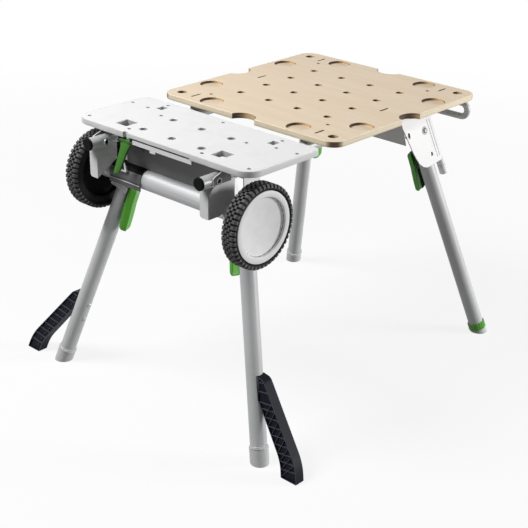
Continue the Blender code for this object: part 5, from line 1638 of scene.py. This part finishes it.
@dataclass
class LegLock:
    """A leg lock: its housing, its pin and a keeled squeeze lever that is hollow towards the leg; the housing and
    the rear levers' hollow are painted shade in dark green.
    """

    frame: LegFrame
    arm: float = 25 * MM
    length: float = 78 * MM
    half: float = 17.5 * MM
    front_keel: float = 7.5 * MM
    rear_keel: float = 3 * MM
    wall: float = 2.0 * MM
    lining: float = 0.4 * MM
    fork_half: float = 4.3 * MM
    fork_inner: float = 30.5 * MM
    fork_outer: float = 35.5 * MM
    fork_rise: float = 4 * MM
    above_pin: float = 9 * MM
    housing_half: tuple[float, float] = (11 * MM, 26 * MM)
    housing_rise: float = 14 * MM
    housing_face: float = 20.2 * MM
    housing_thick: float = 7.5 * MM
    hinge: float = field(init=False)

    def __post_init__(self) -> None:
        """Find how far down the leg the lever's hinge is."""
        joint = JOINTS["lock_squeeze_" + self.frame.name]
        self.hinge = (Vector(joint["pos_m"]) - self.frame.pivot).dot(self.frame.along)

    def build(self) -> None:
        """Dress the pin, and make the housing and the lever."""
        name = self.frame.name
        dress(Finish.ZINC, 0.4 * MM, "lock_pin_" + name)
        self.housing()
        piece = Piece("lock_lever_keeled_" + name, Finish.GREEN_PLASTIC, Finish.DARK_GREEN)
        self.grip(piece)
        self.fork(piece)
        piece.place("lock_lever_" + name, ["lock_lever_" + name], edge=0.5 * MM)

    def housing(self) -> None:
        """Make the lock's slim housing, which the lever hides from outside; its dark green is painted shade for
        the lever's hollow.
        """
        name = "lock_housing_" + self.frame.name
        piece = Piece(name + "_slim", Finish.DARK_GREEN)
        down = self.hinge - self.housing_rise
        outline = soft_box(self.housing_half, 4 * MM)
        piece.block([self.frame.at(-self.housing_face, a, down + b) for a, b in outline],
                    self.frame.out * -self.housing_thick)
        piece.place(self.frame.body, [name], edge=0.7 * MM)

    def grip(self, piece: Piece) -> None:
        """Add the lever's grip, a keeled channel that stands further from the leg at its end.

        Args:
            piece: The lever.
        """
        front = self.frame.front
        keel = self.front_keel if front else self.rear_keel
        # Distance down from the hinge, inner and outer distance from the leg, and share of the full width
        stations = ((-35 * MM, 28.5 * MM, 39 * MM, 0.9), (-30 * MM, 28.5 * MM, 42.5 * MM, 1.0),
                    (6 * MM, 29 * MM, 44 * MM, 1.0), (20 * MM, 30 * MM, 46 * MM, 1.0),
                    (self.length * 0.6, 33.5 * MM, 49 * MM, 1.0),
                    (self.length - 9 * MM, 37 * MM, 51 * MM, 0.95),
                    (self.length - 3 * MM, 40 * MM, 51 * MM, 0.80), (self.length, 43 * MM, 50 * MM, 0.55))
        skin, lining = [], []
        for down, inner, outer, share in stations:
            wide = self.half * share
            inside = wide - self.wall
            thin = inside - self.lining
            hollow = max(inner + 0.6 * MM, outer - keel - self.wall)
            crest = -0.3 * wide if front else 0.0
            skin.append(self.section(down, [
                (-wide, inner), (-wide, outer - keel), (crest, outer), (wide, outer - keel), (wide, inner),
                (inside, inner), (inside, hollow), (-inside, hollow), (-inside, inner)]))
            lining.append(self.section(down, [
                (-inside, inner), (-inside, hollow), (inside, hollow), (inside, inner), (thin, inner),
                (thin, hollow - self.lining), (-thin, hollow - self.lining), (-thin, inner)]))
        piece.loft(skin)
        # Rear levers get a dark green lining in the hollow: painted shade.
        if not front:
            piece.loft(lining[:-1], 1)

    def section(self, down: float, outline: Outline) -> Ring:
        """Lay an outline, as distance sideways and from the leg, across the lever below its hinge."""
        return [self.frame.at(-depth, side, self.hinge + down) for side, depth in outline]

    def fork(self, piece: Piece) -> None:
        """Add the two arms that reach past the hinge and hold the pin's head.

        Args:
            piece: The lever.
        """
        top = self.hinge - self.arm - self.above_pin
        low = self.hinge - self.fork_rise
        wide = self.half - self.fork_half - self.wall
        for hand in (-1.0, 1.0):
            outline = rectangle((self.fork_inner, top), (self.fork_outer, low))
            piece.block([self.frame.at(-depth, hand * self.fork_half, down) for depth, down in outline],
                        self.frame.side * (hand * wide))


@dataclass
class AdjustableFoot:
    """The green ring that screws the rear right foot in and out, with grip flutes round it."""

    radius: float = 23.5 * MM
    inner: float = 20.3 * MM
    height: float = 19 * MM
    ease: float = 1 * MM
    sole: float = 11 * MM
    flutes: int = 18
    flute_depth: float = 1.2 * MM

    def build(self, leg: LegFrame) -> None:
        """Make the ring.

        Args:
            leg: The frame of the rear right leg.
        """
        piece = Piece("foot_ring_fluted", Finish.GREEN_PLASTIC)
        low = leg.length - self.sole
        count = self.flutes * 8
        second = leg.along.cross(leg.out)
        eased_radius = self.radius - self.ease
        stations = ((0.0, self.inner, False), (0.0, eased_radius, True), (self.ease, self.radius, True),
                    (self.height - self.ease, self.radius, True), (self.height, eased_radius, True),
                    (self.height, self.inner, False))
        rings = []
        for up, radius, fluted in stations:
            ring = []
            for k in range(count):
                turn = 2.0 * math.pi * k / count
                sunk = self.flute_depth * max(0.0, math.cos(turn * self.flutes)) ** 2 if fluted else 0.0
                spoke = leg.out * math.cos(turn) + second * math.sin(turn)
                ring.append(leg.at(0.0, 0.0, low - up) + spoke * (radius - sunk))
            rings.append(ring)
        piece.loft(rings, looped=True)
        piece.place("foot_adjuster", ["foot_adjuster"])


@dataclass
class Outrigger:
    """A prop on a front leg: a moulded blade whose hollow face is stiffened by thin ribs."""

    frame: LegFrame
    splay_out: float = 0.30
    splay_back: float = 0.21
    leg_radius: float = 20.3 * MM
    bite: float = 4.5 * MM
    thick: float = 25 * MM
    recess: float = 4 * MM
    rim: float = 1.6 * MM
    top: float = 197.5 * MM
    top_width: float = 19 * MM
    seat: float = 140 * MM
    knee: tuple[float, float] = (112 * MM, 38 * MM)
    toe: float = 122.5 * MM
    heel: tuple[float, float] = (68 * MM, 32 * MM)
    sole: float = 75.5 * MM
    rib: float = 0.9 * MM
    # Heights of the ribs at the inner edge in mm, and how much higher each is at the outer edge
    left_rungs: tuple[float, ...] = (184, 164, 141, 127, 111, 95, 77, 60, 42, 23)
    right_rungs: tuple[float, ...] = (184, 165, 143)
    rung_rise: float = 4.5 * MM
    lattice_top: float = 131 * MM
    lattice_pitch: float = 16 * MM
    lattice_rise: float = 21 * MM
    cells: int = 8
    stud: float = 1.3 * MM
    stud_drop: float = 6 * MM
    # How much further forward the left blade stands at its toe
    toe_forward: float = 11 * MM

    def build(self) -> None:
        """Make the blade with its ribs."""
        piece = Piece("outrigger_ribbed_" + self.frame.name, Finish.BLUE_PLASTIC, Finish.RIB_PLASTIC)
        outline = self.outline()
        hollow = inset(outline, self.rim)
        front = -self.thick / 2.0
        layers = ((outline, -front), (outline, front), (hollow, front), (hollow, front + self.recess))
        # The rim's front face and the ribs take the lighter copy: painted highlight.
        piece.loft([self.layer(points, depth) for points, depth in layers], bands=(0, 1, 0))
        if self.frame.hand < 0.0:
            self.ladder(piece, hollow)
        else:
            self.lattice(piece, hollow)
        piece.place(self.frame.body, ["outrigger_" + self.frame.name], edge=0.4 * MM)

    def outline(self) -> Outline:
        """Give the blade's outline.

        Returns:
            Distances out from the foot with the height there, anticlockwise.
        """
        top_in = self.beside_leg(self.top) - self.bite
        seat_in = self.beside_leg(self.seat)
        return eased([(self.sole, 0.0, 3 * MM), (self.toe, 0.0, 3 * MM), (*self.knee, 26 * MM),
                      (top_in + self.bite + self.top_width, self.top - 3 * MM, 9 * MM),
                      (top_in, self.top, 2 * MM), (seat_in - self.bite, self.seat + 4 * MM, 1 * MM),
                      (seat_in + 1 * MM, self.seat, 2 * MM), (*self.heel, 24 * MM)])

    def beside_leg(self, height: float) -> float:
        """Give how far out the leg's skin is at a height, from the middle of its foot."""
        return self.leg_radius * math.hypot(1.0, self.splay_out) - self.splay_out * height

    def span(self, outline: Outline, height: float) -> tuple[float, float]:
        """Give the least and the greatest distance out of an outline at a height.

        Args:
            outline: The outline.
            height: The height above the floor.

        Returns:
            The inner and the outer crossing.
        """
        found = []
        for (a, b), (c, d) in zip(outline, outline[1:] + outline[:1]):
            if (b - height) * (d - height) < 0.0:
                found.append(a + (c - a) * (height - b) / (d - b))
        return (min(found), max(found))

    def ladder(self, piece: Piece, hollow: Outline) -> None:
        """Add rungs across the hollow, each with a stud under it.

        Args:
            piece: The blade.
            hollow: The outline of the hollow.
        """
        for rung in self.left_rungs:
            self.rung(piece, hollow, rung * MM)
            height = rung * MM - self.stud_drop
            inner, outer = self.span(hollow, height)
            self.raise_up(piece, circle(self.stud, 10, (inner + 0.28 * (outer - inner), height)))

    def lattice(self, piece: Piece, hollow: Outline) -> None:
        """Add rungs at the top of the hollow and crossed ribs below them.

        Args:
            piece: The blade.
            hollow: The outline of the hollow.
        """
        for rung in self.right_rungs:
            self.rung(piece, hollow, rung * MM)
        for k in range(self.cells):
            upper = self.lattice_top - k * self.lattice_pitch
            lower = upper - self.lattice_pitch
            inner = [(self.span(hollow, h)[0], h) for h in (upper, max(lower, 2 * self.rim))]
            rises = (upper + self.lattice_rise, lower + self.lattice_rise)
            outer = [(self.span(hollow, h)[1], h) for h in rises]
            self.bar(piece, inner[0], outer[1])
            self.bar(piece, inner[1], outer[0])

    def rung(self, piece: Piece, hollow: Outline, height: float) -> None:
        """Add one rung that starts at the inner edge at a height."""
        rise = height + self.rung_rise
        self.bar(piece, (self.span(hollow, height)[0], height), (self.span(hollow, rise)[1], rise))

    def bar(self, piece: Piece, start: tuple[float, float], end: tuple[float, float]) -> None:
        """Add a rib between two points of the hollow.

        Args:
            piece: The blade.
            start: Where the rib starts, as distance out and height.
            end: Where it ends.
        """
        first, last = Vector(start), Vector(end)
        across = (last - first).orthogonal().normalized() * (self.rib / 2.0)
        corners = (first + across, first - across, last - across, last + across)
        self.raise_up(piece, [tuple(corner) for corner in corners])

    def raise_up(self, piece: Piece, outline: Outline) -> None:
        """Push an outline from below the hollow's floor nearly up to the rim.

        Args:
            piece: The blade.
            outline: The outline of a rib or a stud.
        """
        front = -self.thick / 2.0
        depths = (front + self.recess + 0.5 * MM, front + 0.4 * MM)
        piece.loft([self.layer(outline, depth) for depth in depths], 1)

    def layer(self, outline: Outline, depth: float) -> Ring:
        """Lay an outline in the blade at a depth of its thickness.

        Args:
            outline: Distances out from the foot with the height above the floor.
            depth: How far behind the blade's middle it lies.

        Returns:
            The points in space.
        """
        fold = -math.copysign(1.0, self.frame.pivot.y)
        foot = self.frame.at(0.0, 0.0, self.frame.length)
        forward = self.toe_forward if self.frame.hand < 0.0 else 0.0
        ring = []
        for out, height in outline:
            lean = forward * (1.0 - height / self.top)
            back = foot.y + fold * self.splay_back * height + depth - lean
            ring.append(Vector((foot.x + self.frame.hand * out, back, height)))
        return ring


@dataclass
class FrontApron:
    """The folded sheet under the saw plate, its light edge strip and the keeled clamp lever."""

    strip: tuple[float, float] = (-84 * MM, 110 * MM)
    strip_drop: float = 9.7 * MM
    strip_height: float = 10.5 * MM
    strip_thick: float = 0.9 * MM
    tab: tuple[float, float] = (-26 * MM, -8 * MM)
    tab_drop: float = 6 * MM
    tab_height: float = 5.8 * MM
    lever_lean: float = 0.50
    lever_thick: float = 8 * MM
    lever_keel: float = 3 * MM
    # Distance down the lever with half its width there
    lever_widths: Outline = field(default_factory=lambda: mm(
        (-3, 17), (9, 16.5), (17, 13.5), (28, 12), (58, 10), (74, 9), (80, 6)))

    def build(self) -> None:
        """Dress the apron and the clevis, and make the strip and the lever."""
        dress(Finish.DARK_COAT, 0.7 * MM, "front_apron", "clamp_clevis")
        low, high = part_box("front_apron")
        base = high.z - self.strip_drop
        piece = Piece("apron_edge_strip", Finish.WHITE_COAT)
        for (left, right), bottom, tall in ((self.strip, base, self.strip_height),
                                            (self.tab, base - self.tab_drop, self.tab_height)):
            footprint = rectangle((left, low.y - self.strip_thick), (right, low.y))
            piece.block(laid(footprint, Plane.LEVEL, bottom), UP * tall)
        piece.place("frame", edge=0.25 * MM)
        self.lever()

    def lever(self) -> None:
        """Make the clamp lever: a barrel on its pin and a tapering grip with a raised keel."""
        pivot = Vector(JOINTS["clamp_swing"]["pos_m"])
        # The clamp lever's darker green is painted shade.
        piece = Piece("clamp_lever_keeled", Finish.HANDLED_GREEN)
        down = Vector((0.0, -self.lever_lean, -1.0)).normalized()
        front = Vector((0.0, down.z, -down.y))
        half = self.lever_thick / 2.0
        side = half - self.lever_keel
        rings = []
        for reach, wide in self.lever_widths:
            section = [(-wide, -half), (wide, -half), (wide, side), (0.35 * wide, half), (-0.35 * wide, half),
                       (-wide, side)]
            rings.append([pivot + down * reach + RIGHT * a + front * b for a, b in section])
        piece.loft(rings)
        piece.turn(pivot, RIGHT, mm((-18, 4.3), (-18, 7), (18, 7), (18, 4.3)), 24, looped=True)
        piece.place(BODY_OF["clamp_lever"], ["clamp_lever"], edge=0.8 * MM)


@dataclass
class EndBrackets:
    """The folded brackets that tie the rail ends to the beam, with a slanted corner on the right of each."""

    sheet: float = 2.5 * MM
    slant: tuple[float, float] = (15.5 * MM, 20.7 * MM)
    shelf_drop: float = 5 * MM
    gusset: float = 60 * MM
    gusset_low: float = 14 * MM
    hook: float = 18 * MM
    hook_gap: float = 0.3 * MM
    rise: float = 9 * MM
    post_radius: float = 4 * MM
    beam: Vector = field(init=False)
    beam_radius: float = field(init=False)

    def __post_init__(self) -> None:
        """Find the beam that the brackets hook round."""
        low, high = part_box("cross_beam")
        self.beam = (low + high) / 2.0
        self.beam_radius = (high.z - low.z) / 2.0 + self.hook_gap

    def build(self) -> None:
        """Make both brackets."""
        for side in SIDES:
            self.bracket(side)

    def bracket(self, side: str) -> None:
        """Make one bracket: a front face, a plate hooked round the beam, a gusset and a slanted shelf.

        Args:
            side: left or right.
        """
        piece = Piece("rail_end_bracket_folded_" + side, Finish.WHITE_COAT)
        low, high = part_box("rail_end_bracket_" + side)
        top = high.z - self.shelf_drop
        corner = high.z - self.slant[1]
        crest = high.x - self.slant[0]
        start = low.y + self.sheet
        thick = RIGHT * self.sheet
        face = eased([(low.x, low.z, 9 * MM), (high.x, low.z, 3 * MM), (high.x, corner, 0.0),
                      (crest, top, 0.0), (low.x, top, 0.0)])
        piece.block(laid(face, Plane.FRONT, low.y), BACK * self.sheet)
        # The plates at the left and right ends of the face, and the height of each
        plates = [(low.x, top), (high.x - self.sheet, corner)]
        (inner, inner_top), (outer, outer_top) = plates if side == "right" else reversed(plates)
        rise = high.z + self.rise if side == "right" else top
        hooked = self.hooked(start, high.y, low.z, outer_top, rise)
        piece.block(laid(hooked, Plane.SIDE, outer), thick)
        back = low.y + self.gusset
        gusset = [(start, low.z + 2 * MM), (back, inner_top - self.gusset_low), (back, inner_top),
                  (start, inner_top)]
        piece.block(laid(gusset, Plane.SIDE, inner), thick)
        shelf = [(high.x, corner), (crest, top), (low.x, top), (low.x, top - self.sheet),
                 (crest - 1 * MM, top - self.sheet), (high.x - self.sheet, corner - 1 * MM)]
        piece.block(laid(shelf, Plane.FRONT, start), BACK * (self.gusset - self.sheet))
        post = circle(self.post_radius, 16, (crest - 3 * MM, low.y + 0.7 * self.gusset))
        piece.block(laid(post, Plane.LEVEL, top - 1 * MM), UP * (self.shelf_drop + 0.5 * MM))
        piece.place("frame", ["rail_end_bracket_" + side], edge=0.6 * MM)

    def hooked(self, start: float, back: float, low: float, top: float, rise: float) -> Outline:
        """Give the outline of the plate that hooks round the front of the beam.

        Args:
            start: The plate's front.
            back: Its back, over the beam.
            low: Its lowest point.
            top: Its top at the front.
            rise: Its top beside the rail, behind the cut corner.

        Returns:
            The points, as distance back and height.
        """
        turns = [math.radians(75.0 + 130.0 * k / 12) for k in range(13)]
        curve = [(self.beam.y + self.beam_radius * math.cos(t), self.beam.z + self.beam_radius * math.sin(t))
                 for t in turns]
        foot = self.beam.y - self.beam_radius - self.hook
        corner = [(start, top), (start + 10 * MM, max(top, rise - 12 * MM)), (start + 26 * MM, rise),
                  (back, rise)]
        return corner + curve + [(foot + 10 * MM, low + 3 * MM), (foot, low), (start, low)]


@dataclass
class RearEnd:
    """The rear apron and the pull handle."""

    apron_edge: float = 0.7 * MM
    handle_edge: float = 0.5 * MM

    def build(self) -> None:
        """Dress both pieces."""
        dress(Finish.WHITE_COAT, self.apron_edge, "rear_apron")
        dress(Finish.LEG_TUBE, self.handle_edge, "pull_handle")


@dataclass(frozen=True)
class SoftLight:
    """A large soft lamp, placed by its direction from the stand."""

    name: str
    towards: tuple[float, float, float]
    power: float
    width: float
    distance: float = 3.2


@dataclass
class Stage:
    """Floor, lamps and the camera of the photograph."""

    picture: float = 528.0
    focal: float = 1227.674
    sensor: float = 36.0
    eye: tuple[float, float, float] = (1.94925, -2.20289, 1.57549)
    aim: tuple[float, float, float] = (-0.0548, 0.0, 0.2224)
    roll: float = 1.0
    floor_radius: float = 9.0
    ambient: float = 0.11
    lit_point: tuple[float, float, float] = (0.0, 0.0, 0.45)
    lamps: tuple[SoftLight, ...] = (
        SoftLight("left", (-0.35, -0.50, 0.79), 90.0, 1.5),
        SoftLight("right", (0.74, 0.63, 0.20), 192.0, 1.6, 5.0),
    )

    def build(self) -> None:
        """Set up the floor, the light and the camera."""
        bpy.context.scene.view_settings.view_transform = "Standard"
        self.floor()
        self.world()
        for lamp in self.lamps:
            self.light(lamp)
        self.camera()

    def floor(self) -> None:
        """Lay the floor."""
        piece = Piece("floor", Finish.FLOOR)
        ring = laid(circle(self.floor_radius, 96), Plane.LEVEL, 0.0)
        piece.mesh.faces.new([piece.mesh.verts.new(point) for point in ring])
        piece.make()

    def world(self) -> None:
        """Show white behind the stand and in its gloss, and light it softly from all round."""
        world = bpy.data.worlds.new("studio")
        world.use_nodes = True
        tree = world.node_tree
        back = tree.nodes["Background"]
        back.inputs["Color"].default_value = linear("#ffffff")
        level = add_node(tree, "ShaderNodeMapRange", {"To Min": self.ambient, "To Max": 1.0},
                         {"Value": seen_rays(tree)})
        tree.links.new(level.outputs["Result"], back.inputs["Strength"])
        bpy.context.scene.world = world

    def light(self, lamp: SoftLight) -> None:
        """Hang one soft lamp, turned to the stand's middle.

        Args:
            lamp: The lamp.
        """
        data = bpy.data.lights.new(lamp.name, "AREA")
        data.shape = "DISK"
        data.size = lamp.width
        data.energy = lamp.power
        made = bpy.data.objects.new(lamp.name, data)
        way = Vector(lamp.towards).normalized()
        made.location = Vector(self.lit_point) + way * lamp.distance
        made.rotation_euler = (-way).to_track_quat("-Z", "Y").to_euler()
        bpy.context.scene.collection.objects.link(made)

    def camera(self) -> None:
        """Place the camera where the photograph was taken from."""
        data = bpy.data.cameras.new("camera")
        data.sensor_width = self.sensor
        data.lens = self.sensor * self.focal / self.picture
        made = bpy.data.objects.new("camera", data)
        made.location = self.eye
        look = (Vector(self.aim) - Vector(self.eye)).to_track_quat("-Z", "Y").to_matrix()
        turn = Matrix.Rotation(math.radians(self.roll), 3, "Z")
        made.rotation_euler = (look @ turn).to_euler()
        bpy.context.scene.collection.objects.link(made)
        bpy.context.scene.camera = made


def main() -> None:
    """Dress the whole stand and set the stage."""
    logging.basicConfig(level=logging.INFO, format="%(name)s: %(message)s")
    legs = {name: LegFrame.read(name) for name in LEG_NAMES}
    BeechPlate().build()
    SawPlate().build()
    Rails().build()
    Beam().build()
    for side in SIDES:
        Wheel(side).build()
    LegBrackets().build(legs.values())
    for leg in legs.values():
        Leg(leg).build()
        LegLock(leg).build()
    AdjustableFoot().build(legs["rear_right"])
    for name in ("front_left", "front_right"):
        Outrigger(legs[name]).build()
    FrontApron().build()
    EndBrackets().build()
    RearEnd().build()
    Stage().build()


if __name__ == "__main__":
    main()
